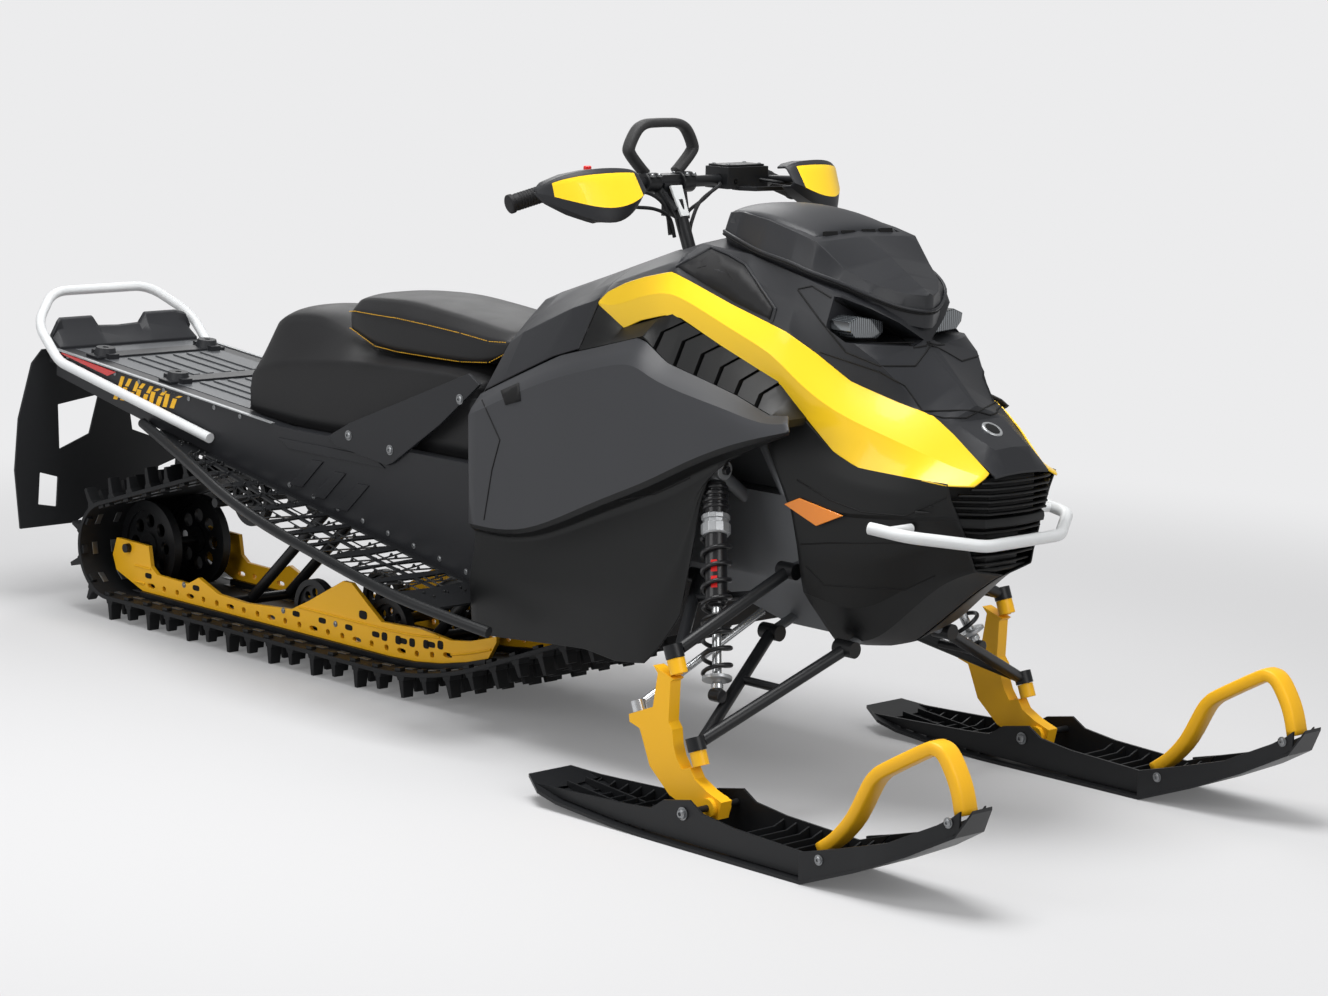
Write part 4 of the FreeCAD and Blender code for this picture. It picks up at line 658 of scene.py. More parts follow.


# Side panels
# Each is a moulding about 3.5 mm thick, held to the hood and the sill by clips. Its upper face overhangs a bulged
# lower part in a sharp lip; the upper face is coloured a lighter grey, painted light where it tips up to the lamps,
# and the part from the lip down is near black.
panel_top = [(88, 250, 667), (200, 250, 717), (312, 250, 766), (420, 250, 794), (520, 250, 821), (545, 250, 815),
             (599, 250, 783), (690, 250, 764), (776, 250, 745), (864, 254, 719), (924, 270, 727)]
panel_shoulder = [(92, 284, 632), (202, 286, 680), (312, 287, 726), (420, 288, 756), (522, 288, 782), (560, 288, 776),
                  (606, 288, 754), (700, 290, 737), (790, 290, 724), (880, 291, 706), (940, 288, 716)]
panel_lip = [(119, 300, 424), (200, 300, 422), (300, 300, 437), (452, 301, 508), (560, 301, 552), (620, 301, 578),
             (700, 301, 618), (780, 301, 652), (850, 301, 676), (915, 300, 694), (951, 296, 704)]
panel_under = [(120, 296, 416), (200, 296, 413), (300, 295, 428), (454, 294, 498), (562, 294, 542), (622, 294, 568),
               (702, 294, 608), (782, 294, 642), (852, 294, 667), (911, 294, 687), (949, 292, 700)]
panel_recess = [(122, 286, 408), (200, 280, 405), (300, 275, 417), (456, 268, 486), (564, 264, 530), (622, 262, 556),
                (702, 262, 597), (778, 264, 632), (846, 268, 659), (904, 276, 682), (944, 286, 697)]
panel_upper_bulge = [(122, 287, 372), (200, 286, 372), (300, 285, 380), (450, 284, 432), (556, 283, 452),
                     (616, 278, 470), (676, 272, 506), (702, 266, 566), (730, 260, 618), (800, 262, 650),
                     (908, 276, 684)]
panel_bulge = [(120, 297, 316), (200, 299, 318), (300, 301, 322), (430, 302, 334), (530, 302, 342), (596, 300, 350),
               (646, 294, 376), (684, 284, 446), (706, 268, 556), (722, 258, 612), (872, 272, 674)]
panel_sill = [(119, 286, 208), (205, 289, 213), (310, 291, 222), (444, 292, 232), (526, 292, 223), (601, 290, 231),
              (636, 284, 270), (680, 280, 330), (702, 276, 452), (714, 258, 600), (840, 268, 662)]
moulded_panel("side_panel_shell", [panel_top, panel_shoulder, panel_lip, panel_under, panel_recess, panel_upper_bulge,
                                   panel_bulge, panel_sill], [(painted_light_grey, 0), (black_with_painted_shade, 2)],
              (0.9, 0.85, 1.0, 0.9, 0.8, 0.5, 0.4, 0.9), "side_panel_%s")


# Yellow panels
# A glossy yellow moulding is clipped over each side of the hood. It is a band above the louvres that widens
# round the nose, with a crease along it.
band_upper = [(362, 201, 869), (384, 200, 889), (430, 199, 910), (480, 198, 926), (549, 197, 942), (600, 196, 928),
              (700, 193, 897), (780, 192, 876), (836, 191, 861), (896, 173, 827), (960, 151, 783), (1040, 117, 755),
              (1106, 94, 735), (1150, 88, 706), (1189, 81, 674), (1222, 75, 647)]
band_crease = [(363, 203, 866), (394, 205, 864), (432, 207, 872), (480, 208, 890), (549, 213, 906), (597, 215, 900),
               (698, 215, 864), (776, 215, 838), (832, 214, 818), (888, 209, 774), (960, 192, 732), (1040, 167, 704),
               (1110, 139, 678), (1150, 120, 661), (1186, 105, 650), (1222, 86, 640)]
band_lower = [(364, 202, 862), (402, 204, 842), (436, 206, 826), (484, 208, 846), (549, 211, 862), (590, 212, 862),
              (694, 211, 822), (772, 208, 794), (836, 205, 770), (885, 200, 726), (960, 190, 660), (1014, 184, 638),
              (1100, 165, 633), (1150, 155, 630), (1189, 147, 628), (1221, 112, 628)]
moulded_panel("yellow_band_shell", [band_upper, band_crease, band_lower], [(gloss_yellow, 0)],
              (0.9, 0.9, 0.9), "hood_panel_%s")


# Belly
# The underside of the nose is a black grained moulding, screwed to the front frame. It has a seam along each
# side and a keel between the lower arms.
belly_lines = [
    [(846, 205, 738), (890, 202, 718), (960, 190, 661), (1012, 184, 640), (1100, 165, 634), (1160, 152, 631),
     (1190, 147, 630)],
    [(814, 207, 655), (880, 206, 640), (962, 198, 618), (1030, 188, 606), (1110, 168, 602), (1160, 150, 602),
     (1188, 134, 600)],
    [(866, 205, 560), (905, 204, 556), (970, 198, 556), (1050, 184, 560), (1120, 163, 566), (1166, 138, 568),
     (1192, 117, 568)],
    [(868, 199, 552), (906, 198, 548), (970, 192, 548), (1048, 178, 552), (1118, 157, 558), (1163, 132, 561),
     (1189, 111, 562)],
    [(888, 200, 486), (928, 199, 478), (985, 188, 476), (1060, 168, 490), (1128, 144, 510), (1170, 117, 524),
     (1196, 100, 532)],
    [(902, 195, 402), (950, 188, 392), (1000, 158, 374), (1060, 134, 408), (1130, 110, 462), (1176, 91, 482),
     (1198, 84, 492)],
    [(899, 102, 300), (950, 104, 306), (1000, 100, 318), (1060, 98, 372), (1134, 93, 440), (1180, 80, 462),
     (1201, 76, 470)],
    [(898, 1, 278), (950, 1, 286), (1004, 1, 302), (1064, 1, 350), (1138, 1, 412), (1184, 1, 446), (1203, 1, 456)],
]
moulded_panel("belly_shell", belly_lines, [(black_with_painted_shade, 0)],
              (0.9, 0.7, 1.0, 1.0, 0.6, 0.9, 0.9, 0.2), "belly_pan")


# Grille
# Two sets of swept black ribs are moulded in one with the plain band between them, behind the bumper, and stand
# in front of a dark baffle.
def nose_rib(half_width, z, front, back_at_end, height):
    """Rounded rib across the nose, flat in the middle and swept back towards its ends."""
    knee = min(76.0, 0.8 * half_width)
    route = [Vector((front - back_at_end, -half_width, z)), Vector((front - 8, -knee, z)),
             Vector((front, -0.3 * knee, z)), Vector((front, 0.3 * knee, z)), Vector((front - 8, knee, z)),
             Vector((front - back_at_end, half_width, z))]
    return swept(route, oval(7, height / 2, 8, 0.6), (0, 0, 1))


# Each rib is (half width, height, front, how far its ends sweep back)
upper_ribs = [(160, 575, 1228, 98), (146, 586, 1230, 80), (131, 597, 1231, 62), (116, 608, 1232, 44),
              (102, 619, 1232, 28), (90, 630, 1231, 16)]
lower_ribs = [(100, 541, 1216, 40), (98, 526, 1212, 40), (96, 511, 1208, 40), (92, 496, 1203, 38),
              (86, 481, 1198, 36)]
middle_band, lower_sill = (122, 558, 1224, 62), (82, 469, 1194, 34)
ribs = [nose_rib(*rib, 5.0) for rib in upper_ribs] + [nose_rib(*rib, 5.5) for rib in lower_ribs]
ribs += [nose_rib(*middle_band, 19), nose_rib(*lower_sill, 9)]
grille = add_piece("grille_ribs", ribs, black_with_painted_shade, "chassis", 0.0006)
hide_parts("grille")
baffles = [slab([(front - 88, -y, low), (front - 12, -0.4 * y, low), (front - 12, 0.4 * y, low),
                 (front - 88, y, low)], (0, 0, high - low))
           for y, low, high, front in ((104, 470, 552, 1206), (150, 566, 636, 1222))]
add_piece("grille_baffle", baffles, black_with_painted_shade, "chassis", 0.001)


# Amber side reflectors
# A pointed diamond of amber plastic, glossy and clear, is clipped into each side of the belly.
reflectors = []
for sign in (-1, 1):
    outline = [(862, sign * 205.5, 556), (898, sign * 205.2, 572), (996, sign * 195.5, 553), (938, sign * 201.5, 527)]
    reflectors.append(slab(outline, (0, sign * 3.5, 0)))
reflector = add_piece("amber_reflectors", reflectors, amber_lens, "chassis", 0.0012)
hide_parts("marker_lamps")


# Seams and insets of the bodywork
# The panels meet in narrow gaps and carry thin moulded beads and plates. Each line was read off the photograph
# as pixels of its 1328 x 996 frame; a ray from the camera through that pixel puts it on the shell, and it is
# mirrored to the left.
frame_width, frame_height = 1328, 996


def on_shell(pixels, shells, lift):
    """Points in millimetres where the rays through the pixels meet the shells, lifted off them."""
    found = []
    for px, py in pixels:
        sideways = (px - frame_width / 2) / frame_width * sensor_width / camera_lens
        upwards = (frame_height / 2 - py) / frame_width * sensor_width / camera_lens
        ray = (look + roll @ level_right * sideways + roll @ level_up * upwards).normalized()
        best = None
        for shell in shells:
            hit, place, normal, _ = shell.ray_cast(camera_place, ray)
            if hit and (best is None or (place - camera_place).length < (best[0] - camera_place).length):
                best = (place, normal if normal.dot(ray) < 0 else -normal)
        if best:
            found.append(tuple((best[0] + best[1] * lift / 1000) * 1000))
    return found


def closer(pixels, step=5.0, closed=False):
    """The same pixel line with points no further apart than a step."""
    line = []
    ends = pixels[1:] + pixels[:1] if closed else pixels[1:]
    for (ax, ay), (bx, by) in zip(pixels, ends):
        count = max(1, round(math.hypot(bx - ax, by - ay) / step))
        line += [(ax + (bx - ax) * k / count, ay + (by - ay) * k / count) for k in range(count)]
    return line if closed else line + [pixels[-1]]


def seam_line(name, pixel_lines, shells, radius, material, lift=0.0):
    """Thin moulded bead or shadow gap along lines on the shells, on both sides of the machine."""
    parts = []
    for pixels in pixel_lines:
        route = [Vector(point) for point in on_shell(closer(pixels), shells, lift)]
        for path in (route, [Vector((x, -y, z)) for x, y, z in route]):
            parts.append(swept(path, oval(radius, radius, 6), (0.3, 0.2, 1)))
    add_piece(name, parts, material, "chassis")


def inset(name, outlines, shells, lift, material):
    """Thin plates that follow the shells, from pixel outlines, on both sides of the machine."""
    parts = []
    for pixels in outlines:
        flat = bmesh.new()
        flat.faces.new([flat.verts.new((px, py, 0)) for px, py in closer(pixels, 12.0, closed=True)])
        bmesh.ops.triangulate(flat, faces=flat.faces[:])
        bmesh.ops.subdivide_edges(flat, edges=flat.edges[:], cuts=2, use_grid_fill=True)
        flat.verts.ensure_lookup_table()
        raised = [on_shell([vert.co[:2]], shells, lift) for vert in flat.verts]
        faces = [tuple(vert.index for vert in face.verts) for face in flat.faces
                 if all(raised[vert.index] for vert in face.verts)]
        used = sorted({index for face in faces for index in face})
        number = {index: k for k, index in enumerate(used)}
        points = [raised[index][0] for index in used]
        faces = [tuple(number[index] for index in face) for face in faces]
        parts += [(points, faces), ([(x, -y, z) for x, y, z in points], faces)]
        flat.free()
    piece = add_piece(name, parts, material, "chassis")
    plate = piece.modifiers.new("plate", "SOLIDIFY")
    plate.thickness, plate.offset = 0.0012, 0
    shade_smooth(piece)


# The inset has a coarse dull texture, and a gap between two panels is seen as near black
dull_black = finish_of("textured_black_abs", "#101012", 0.6, 0.7, 0.00005)
shadow_gap = finish_of("panel_shadow_gap", "#060607", 0.7, mottle=0.02)
upper_shells = [nodes["hood"], nodes["head_pod"], nodes["console"]]
hood_window_pixels = [(678, 267), (712, 250), (728, 257), (744, 266), (773, 309), (770, 319), (752, 311), (734, 302)]
hood_frame_pixels = [(676, 267), (711, 248), (729, 255), (746, 265), (776, 309), (772, 322)]
hood_seam_pixels = [
    [(798, 290), (820, 320), (846, 352), (880, 366), (915, 366)],
    [(798, 289), (812, 286), (835, 300), (862, 316), (890, 330), (914, 348), (926, 346), (940, 330), (955, 312)],
    [(915, 366), (932, 344)],
    [(820, 352), (880, 372), (905, 386), (925, 414), (944, 418), (966, 418), (1000, 400)],
    [(712, 250), (740, 290), (770, 319)],
    [(686, 272), (720, 262)],
]
inset("hood_window_inset", [hood_window_pixels], upper_shells, 1.2, dull_black)
seam_line("hood_window_frame", [hood_frame_pixels], upper_shells, 2.6, satin_dark, lift=1.0)
seam_line("hood_seams", hood_seam_pixels, upper_shells, 1.8, shadow_gap)

# Lip of the pod, a rolled edge with a shadow gap under it
lip_half = [(580, 94, 1014), (640, 126, 1008), (720, 148, 993), (800, 152, 980), (848, 147, 967), (902, 130, 952),
            (950, 102, 932), (985, 54, 911), (1006, 0, 903)]
lip = smooth_route([(x, -y, z) for x, y, z in lip_half] + lip_half[-2::-1], 4)
add_piece("pod_lip_roll", [swept(lip, oval(3.2, 3.2, 8), (0, 0, 1))], satin_dark, "chassis")
under_lip = [point + Vector((-1.5, 0, -5)) for point in lip]
add_piece("pod_lip_gap", [swept(under_lip, oval(2.6, 2.6, 6), (0, 0, 1))], shadow_gap, "chassis")

# Seams of the belly and side panels, and the dark notch at the side panel's rear edge
bpy.context.view_layer.update()
belly_shells = [bpy.data.objects["belly_shell_right"]]
belly_seam_pixels = [
    [(786, 545), (830, 543), (890, 543), (940, 546), (1000, 545)],
    [(797, 480), (830, 500), (862, 512), (905, 516), (960, 492)],
    [(806, 566), (824, 585), (905, 590), (935, 576)],
]
seam_line("belly_seams", belly_seam_pixels, belly_shells, 1.6, shadow_gap)
side_shells = [bpy.data.objects["side_panel_shell_right"]]
side_window_pixels = [(501, 391), (519, 383), (521, 401), (506, 405)]
side_seam_pixels = [
    [(482, 400), (500, 440), (492, 470), (484, 520)],
    [(545, 350), (580, 345), (640, 338)],
    [(620, 500), (655, 494), (690, 478)],
]
inset("side_panel_window", [side_window_pixels], side_shells, 1.0, shadow_gap)
seam_line("side_panel_seams", side_seam_pixels, side_shells, 1.5, shadow_gap)


# Nose boss
# A round black plastic boss with a rolled aluminium rim is pressed into the top of the nose.
boss_seat, boss_axis = Vector((1160, 0, 709)), Vector((0.52, 0, 0.854))
boss = turned([(-5, 20), (2.2, 20), (3.4, 18.5), (3.4, 15.0), (2.2, 14.6), (2.4, 0.2)], boss_seat, boss_axis, 36)
add_piece("nose_boss_rim", [boss], bright_edge, "chassis")
face = turned([(0, 14.5), (2.7, 14.2), (3.3, 9), (3.4, 0.2)], boss_seat, boss_axis, 36)
add_piece("nose_boss_face", [face], black_with_painted_shade, "chassis")


# Gauge hood and lamp covers
# A rounded satin cap is screwed over the rear of the pod, ahead of the bar, with four dark vents in its front.
# The headlamps sit behind clear moulded covers.
shell_from_stations("gauge_hood_cap", [
    (540, [(0, 1030), (20, 1028), (34, 1020), (38, 1010)]),
    (556, [(0, 1052), (34, 1050), (58, 1042), (66, 1024)]),
    (590, [(0, 1064), (46, 1062), (84, 1052), (96, 1026)]),
    (640, [(0, 1070), (56, 1068), (104, 1056), (118, 1026)]),
    (700, [(0, 1069), (60, 1067), (112, 1054), (128, 1022)]),
    (748, [(0, 1061), (60, 1059), (116, 1046), (133, 1012)]),
    (800, [(0, 1048), (58, 1046), (112, 1034), (134, 998)]),
    (824, [(0, 1038), (56, 1036), (108, 1026), (130, 992)]),
    (828, [(0, 1026), (54, 1024), (104, 1014), (124, 988)]),
], satin_dark, "chassis", creases=((2, 0.8), (3, 0.9)))
vents = [slab([(829, y, 1000), (829, y + 38, 1000), (822, y + 36, 1031), (822, y + 2, 1032)], (6, 0, 2))
         for y in (-92, -46, 8, 54)]
add_piece("gauge_hood_vents", vents, shadow_gap, "chassis", 0.001)


def cover_with_painted_reflector(name):
    """Clear polycarbonate lamp cover with a sharp gloss; the bright reflector behind it is painted into its colour as
    bands of painted reflection.
    """
    material, tree = new_material(name)
    place = add(tree, "ShaderNodeTexCoord")
    # Flutes of the reflector, about 5 mm apart, as light and dark bands of colour: painted reflection, since real
    # flutes differ only in how they face the lamps. A wave is 2 pi / 20 / scale metres long
    painted_flute_reflections = add(tree, "ShaderNodeTexWave", {"Scale": 60.0, "bands_direction": "Y"},
                 {"Vector": place.outputs["Object"]})
    shade = add(tree, "ShaderNodeMix", {"data_type": "RGBA", 6: linear("#1E2124"), 7: linear("#7B8084")},
                {0: painted_flute_reflections.outputs["Fac"]})
    shader = add(tree, "ShaderNodeBsdfPrincipled", {"Roughness": 0.12, "Metallic": 0.55, "Coat Weight": 1.0,
                                                    "Coat Roughness": 0.03}, {"Base Color": shade.outputs[2]})
    add(tree, "ShaderNodeOutputMaterial", links={"Surface": shader.outputs[0]})
    return material


lamp_cover_painted_reflector = cover_with_painted_reflector("clear_polycarbonate_cover_painted_reflector")
finish(["headlamps"], lamp_cover_painted_reflector, 0.002)
finish(["front_bumper"], white_coat, 0.0008)


# Front frame and engine
# The frame is cast aluminium, grey and slightly rough from the sand; the engine behind it is one plain block.
# Sand leaves the casting dull grey, with a coarse grain
cast_aluminium = finish_of("sand_cast_aluminium", "#77797C", 0.52, 1.2, 0.0003, metallic=0.6)
finish(["front_frame", "engine_block"], cast_aluminium, 0.003)


# Handlebar and steering
# A black steel column and forged riser carry the straight bar. The guards are grained plastic with yellow
# front panels, and the strap over the riser is foam covered in woven black fabric.
# Powder coat on steel is smooth and satin, rubber is dull, and moulded housings lie between the two
black_coat = finish_of("satin_black_powder_coat", "#1A1B1D", 0.36, 0.7, 0.00003)
grip_rubber = finish_of("grip_rubber", "#18181A", 0.62, 1.0, 0.0002)
control_plastic = finish_of("control_housing_plastic", "#1B1C1E", 0.45, 0.6, 0.00006)
red_button = finish_of("red_switch_cap", "#D4201F", 0.35, coat=0.2, mottle=0.02)
finish(["steering_post"], black_coat, 0.0012)
finish(["bar_controls"], control_plastic, 0.003)
bar_x, bar_z = 325, 1082


def on_bar(points):
    """Points in place, from ones given forward of, beside and above the middle of the bar."""
    return [(bar_x + x, y, bar_z + z) for x, y, z in points]


# Guards: mouldings about 3.5 mm thick on steel stays, each line of one running from its outer point to its
# inner end
guard_rows = [-396, -380, -344, -300, -250, -212, -196]
guard_lines = [
    [(388, 1084), (386, 1098), (396, 1112), (408, 1120), (418, 1122), (424, 1118), (430, 1112)],
    [(392, 1084), (412, 1104), (436, 1119), (450, 1126), (456, 1126), (456, 1122), (450, 1114)],
    [(394, 1083), (417, 1100), (444, 1113), (461, 1118), (466, 1119), (464, 1117), (456, 1111)],
    [(397, 1080), (424, 1076), (462, 1064), (494, 1054), (498, 1062), (492, 1078), (476, 1086)],
    [(396, 1078), (420, 1063), (456, 1042), (500, 1024), (494, 1038), (480, 1062), (466, 1078)],
    [(390, 1079), (400, 1060), (420, 1040), (446, 1024), (450, 1036), (446, 1060), (444, 1076)],
]
columns = [[(x, -y, z) for y, (x, z) in zip(guard_rows, line)] for line in guard_lines]
moulded_panel("hand_guard_shell", columns, [(black_moulding, 0), (gloss_yellow, 2, 1, 5), (black_moulding, 3)],
              (0.9, 1.0, 0.7, 1.0, 0.9, 0.9), "hand_guards", "steering")
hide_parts("guard_panels")
stays, stay_y = [], 262
for sign in (-1, 1):
    root, clamp = on_bar([(12, sign * stay_y, 0), (5, sign * stay_y, 0)])
    stays.append(turned([(0, 7), (112, 7)], root, (1, 0, 0.05), 16))
    stays.append(turned([(-14, 15), (-12, 17), (12, 17), (14, 15)], clamp, (0, 1, 0), 24))
add_piece("guard_stays", stays, black_coat, "steering", 0.0008)

# Grips: moulded rubber sleeves pushed over the bar, with rings, their outer ends swelling to a stop
grips = []
for sign in (-1, 1):
    start, end = (Vector(point) for point in on_bar([(3, sign * 276, -2), (-21, sign * 374, -29.5)]))
    along = end - start
    profile = [(0, 13), (1, 17.5), (5, 17.5), (7, 15.5)]
    for ring in range(14):
        profile += [(9 + 6 * ring, 15.2), (11 + 6 * ring, 16.4), (13 + 6 * ring, 16.4)]
    profile += [(along.length - 6, 15.2), (along.length - 4, 18), (along.length + 3, 18), (along.length + 5, 15)]
    grips.append(turned(profile, start, along, 24))
add_piece("bar_grips", grips, grip_rubber, "steering", 0.0004)

# Riser: forged legs with a bright insert between them, clamp caps and their screws on the bar
insert = slab(on_bar([(26, -15, -6), (26, 15, -6), (54, 10, -62), (54, -10, -62)]), (5, 0, 2.8))
add_piece("riser_insert", [insert], white_coat, "steering", 0.001)
clamp_y = (-46, 46)
clamps = [turned([(-17, 18), (-15, 20), (15, 20), (17, 18)], place, (0, 1, 0), 24)
          for place in on_bar([(5, y, 0) for y in clamp_y])]
clamp_screws = [screw(place, (0, 0, 1), 4.2, 5)
                for place in on_bar([(x, y + dy, 14) for y in clamp_y for x in (-14, 22) for dy in (-9, 9)])]
add_piece("bar_clamps", clamps, black_coat, "steering", 0.0008)
add_piece("clamp_screws", clamp_screws, zinc_screw, "steering")
gusset = [slab(on_bar([(6, sign * 30 - 4, -8), (30, sign * 26 - 4, -16), (52, sign * 15 - 4, -66),
                       (30, sign * 15 - 4, -60)]), (0, 8, 0)) for sign in (-1, 1)]
add_piece("riser_gussets", gusset, black_coat, "steering", 0.0012)

# Levers and cables: the lever blades ahead of the grips, and the looms that run down the column to the body
levers = []
for sign in (-1, 1):
    blade = on_bar([(20, sign * 226, 2), (58, sign * 250, -4), (66, sign * 300, -8), (50, sign * 352, -16)])
    levers.append(swept(smooth_route(blade, 6), oval(6, 3.5, 8, 0.7), (0, 0, 1)))
add_piece("lever_blades", levers, black_coat, "steering", 0.0006)
loom_lines = [
    [(2, -214, -4), (24, -160, -22), (22, -80, -14), (34, -34, -40), (44, -26, -96)],
    [(8, -218, 2), (44, -150, -34), (52, -78, -44), (48, -34, -62), (50, -20, -100)],
    [(6, 140, -6), (40, 104, -8), (36, 60, -36), (44, 30, -74), (46, 24, -98)],
    [(-6, 150, -10), (10, 96, -34), (20, 40, -60), (36, 22, -92)],
]
looms = [swept(smooth_route(on_bar(line), 8), oval(3.6, 3.6, 8), (1, 0, 0.3)) for line in loom_lines]
add_piece("control_looms", looms, grip_rubber, "steering")

# Controls: the stop button by the right grip, and the brake reservoir's lid and screws on the left
button_seat, switch_middle = on_bar([(4, -207, 24), (4, -208, 0)])
button = turned([(0, 10), (3, 10), (4, 7.5), (12, 7.5), (13.5, 6)], button_seat, (0, 0, 1), 24)
add_piece("stop_button", [button], red_button, "steering", 0.0006)
housing = [turned([(-18, 15), (-16, 18), (16, 18), (18, 15)], switch_middle, (0, 1, 0), 24),
           slab(on_bar([(-12, -224, 8), (18, -224, 8), (18, -190, 8), (-12, -190, 8)]), (0, 0, 17))]
add_piece("stop_switch_housing", housing, control_plastic, "steering", 0.0015)
lid = slab(on_bar([(-29, 144, 26), (25, 144, 26), (25, 244, 26), (-29, 244, 26)]), (0, 0, 4))
add_piece("reservoir_lid", [lid], black_coat, "steering", 0.0012)
lid_screws = [screw(place, (0, 0, 1), 3.5, 2)
              for place in on_bar([(x, y, 30) for x in (-22, 18) for y in (152, 236)])]
lid_screws += [screw(place, (1, 0, 0), 7, 5) for place in on_bar([(26, 160, -2)])]
add_piece("reservoir_screws", lid_screws, zinc_screw, "steering")

# Strap: an eight-sided loop of foam in a woven cover, which stands up from the clamps
strap_x = 311
strap_half = [(42, 1100), (56, 1112), (80, 1136), (84, 1150), (66, 1180), (44, 1192), (14, 1194)]
strap_route = smooth_route([(strap_x, -y, z) for y, z in strap_half]
                           + [(strap_x, y, z) for y, z in strap_half[::-1]], 5)


def woven_cover(name):
    """Woven nylon over foam: a fine basket relief with a soft sheen, its threads about 1 mm apart, coloured darker
    where they dip as painted shade.

    A wave is 2 pi / 20 / scale metres long and spans two threads."""
    material, tree = new_material(name)
    place = add(tree, "ShaderNodeTexCoord")
    warp, weft = (add(tree, "ShaderNodeTexWave", {"Scale": 160.0, "bands_direction": run},
                      {"Vector": place.outputs["Object"]}) for run in "ZY")
    threads = add(tree, "ShaderNodeMath", {"operation": "MULTIPLY"},
                  {0: warp.outputs["Fac"], 1: weft.outputs["Fac"]})
    relief = add(tree, "ShaderNodeBump", {"Strength": 0.4, "Distance": 0.0004}, {"Height": threads.outputs[0]})
    # Colour follows the weave's relief, darker where the threads dip: painted shade in the weave's hollows
    shade = add(tree, "ShaderNodeMix", {"data_type": "RGBA", 6: linear("#121213"), 7: linear("#232325")},
                {0: threads.outputs[0]})
    shader = add(tree, "ShaderNodeBsdfPrincipled", {"Roughness": 0.65, "Sheen Weight": 0.15, "Sheen Roughness": 0.5},
                 {"Base Color": shade.outputs[2], "Normal": relief.outputs[0]})
    add(tree, "ShaderNodeOutputMaterial", links={"Surface": shader.outputs[0]})
    return material


strap_cover = woven_cover("woven_strap_cover")
strap = add_piece("padded_grab_strap", [swept(strap_route, oval(9, 13, 16, 0.7), (1, 0, 0))], strap_cover, "steering")
shade_smooth(strap)
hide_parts("grab_strap")


# Front suspension
# Welded steel arms with a black powder coat, forged yellow spindles, and shocks whose black body and plated
# rod stand inside a coil spring of enamelled wire, under a bright adjusting collar.
# The yellow coat is smooth and warm, the spring shines darkly, and the plated rod mirrors the room
spindle_yellow = finish_of("yellow_powder_coat", "#F5B81F", 0.36, 0.8, 0.00003, mottle=0.03)
spring_black = finish_of("black_enamelled_spring", "#1C1C1E", 0.32, coat=0.2)
plated_rod = finish_of("plated_steel_rod", "#C9CBCD", 0.25, metallic=0.85)
finish(["upper_arms", "lower_arms"], black_coat, 0.001)
finish(["tie_rod_right", "tie_rod_left"], plated_rod, 0.001)
finish(["spindle_right", "spindle_left"], spindle_yellow, 0.003)

# Shocks, from their mount on the frame to the bolt in the lower arm: a ribbed black body with a red mark on
# each side of it, a bright collar, a plated rod and the coil round them
shock_top, shock_foot = (702, 222, 600), (852, 352, 226)
shock_length = math.dist(shock_top, shock_foot)
shock_axis = [(foot - top) / shock_length for top, foot in zip(shock_top, shock_foot)]
coil_start, coil_end, coil_radius, coil_turns, coil_steps = 132, 384, 25, 8, 26


def sided(point, sign):
    """A point or direction given for the left side, on the side of the sign."""
    x, y, z = point
    return Vector((x, sign * y, z))


bodies, collars, rods, springs, marks = [], [], [], [], []
for sign in (-1, 1):
    top, foot, axis = (sided(point, sign) for point in (shock_top, shock_foot, shock_axis))
    bodies.append(turned([(12, 10), (24, 12), (28, 19), (32, 20), (250, 20), (254, 17), (258, 17), (262, 12)],
                         top, axis, 32))
    for start in (0, 12, 24, 36):
        rib = [(start + 34, 22), (start + 36, 23.5), (start + 40, 23.5), (start + 42, 22)]
        bodies.append(turned(rib, top, axis, 32))
    bodies.append(turned([(-13, 10), (-12, 12), (12, 12), (13, 10)], foot, (1, 0, 0), 24))
    bodies.append(turned([(24, 9), (31, 9), (33, 7)], top, (1, 0, 0), 6))
    collars.append(turned([(88, 22), (90, 26), (98, 26), (99, 23), (106, 23), (107, 27), (124, 27), (127, 24)],
                          top, axis, 12))
    collars.append(turned([(-19, 12), (-17, 15), (17, 15), (19, 12)], top, (1, 0, 0), 32))
    collars.append(turned([(20, 11), (20, 18), (25, 18), (25, 8)], top, (1, 0, 0), 32))
    collars.append(slab([top + Vector((20, y, z)) for y, z in ((-9, 8), (9, 8), (7, 27), (-7, 27))], (5, 0, 0)))
    collars.append(turned([(5, 9), (12, 13), (26, 13)], top, axis, 16))
    collars.append(turned([(388, 20), (390, 27), (396, 27), (398, 20)], top, axis, 32))
    rods.append(turned([(258, 8.5), (400, 8.5), (404, 11), (412, 11), (414, 8)], top, axis, 24))
    across = axis.orthogonal().normalized()
    beside = axis.cross(across)
    coil = []
    for step in range(coil_turns * coil_steps + 1):
        turn = 2 * math.pi * step / coil_steps
        share = step / (coil_turns * coil_steps)
        coil.append(top + axis * (coil_start + share * (coil_end - coil_start))
                    + (across * math.cos(turn) + beside * math.sin(turn)) * coil_radius)
    springs.append(swept(coil, oval(4.2, 4.2, 10), axis))
    aside = Vector((0.55, sign * 0.82, 0.1)).normalized().cross(axis)
    for start in (178, 208):
        label = [top + axis * d + aside.cross(axis) * -20.6 + aside * w
                 for d, w in ((start, -6), (start + 22, -6), (start + 22, 6), (start, 6))]
        marks.append(slab(label, tuple(axis.cross(label[2] - label[1]).normalized() * 0.8)))
shocks = add_piece("shock_bodies", bodies, spring_black, "chassis", 0.0006)
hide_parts("front_shocks")
add_piece("shock_collars", collars, bright_edge, "chassis", 0.0006)
add_piece("shock_rods", rods, plated_rod, "chassis", 0.0005)
coils = add_piece("shock_springs", springs, spring_black, "chassis")
shade_smooth(coils)
add_piece("shock_marks", marks, red_button, "chassis")


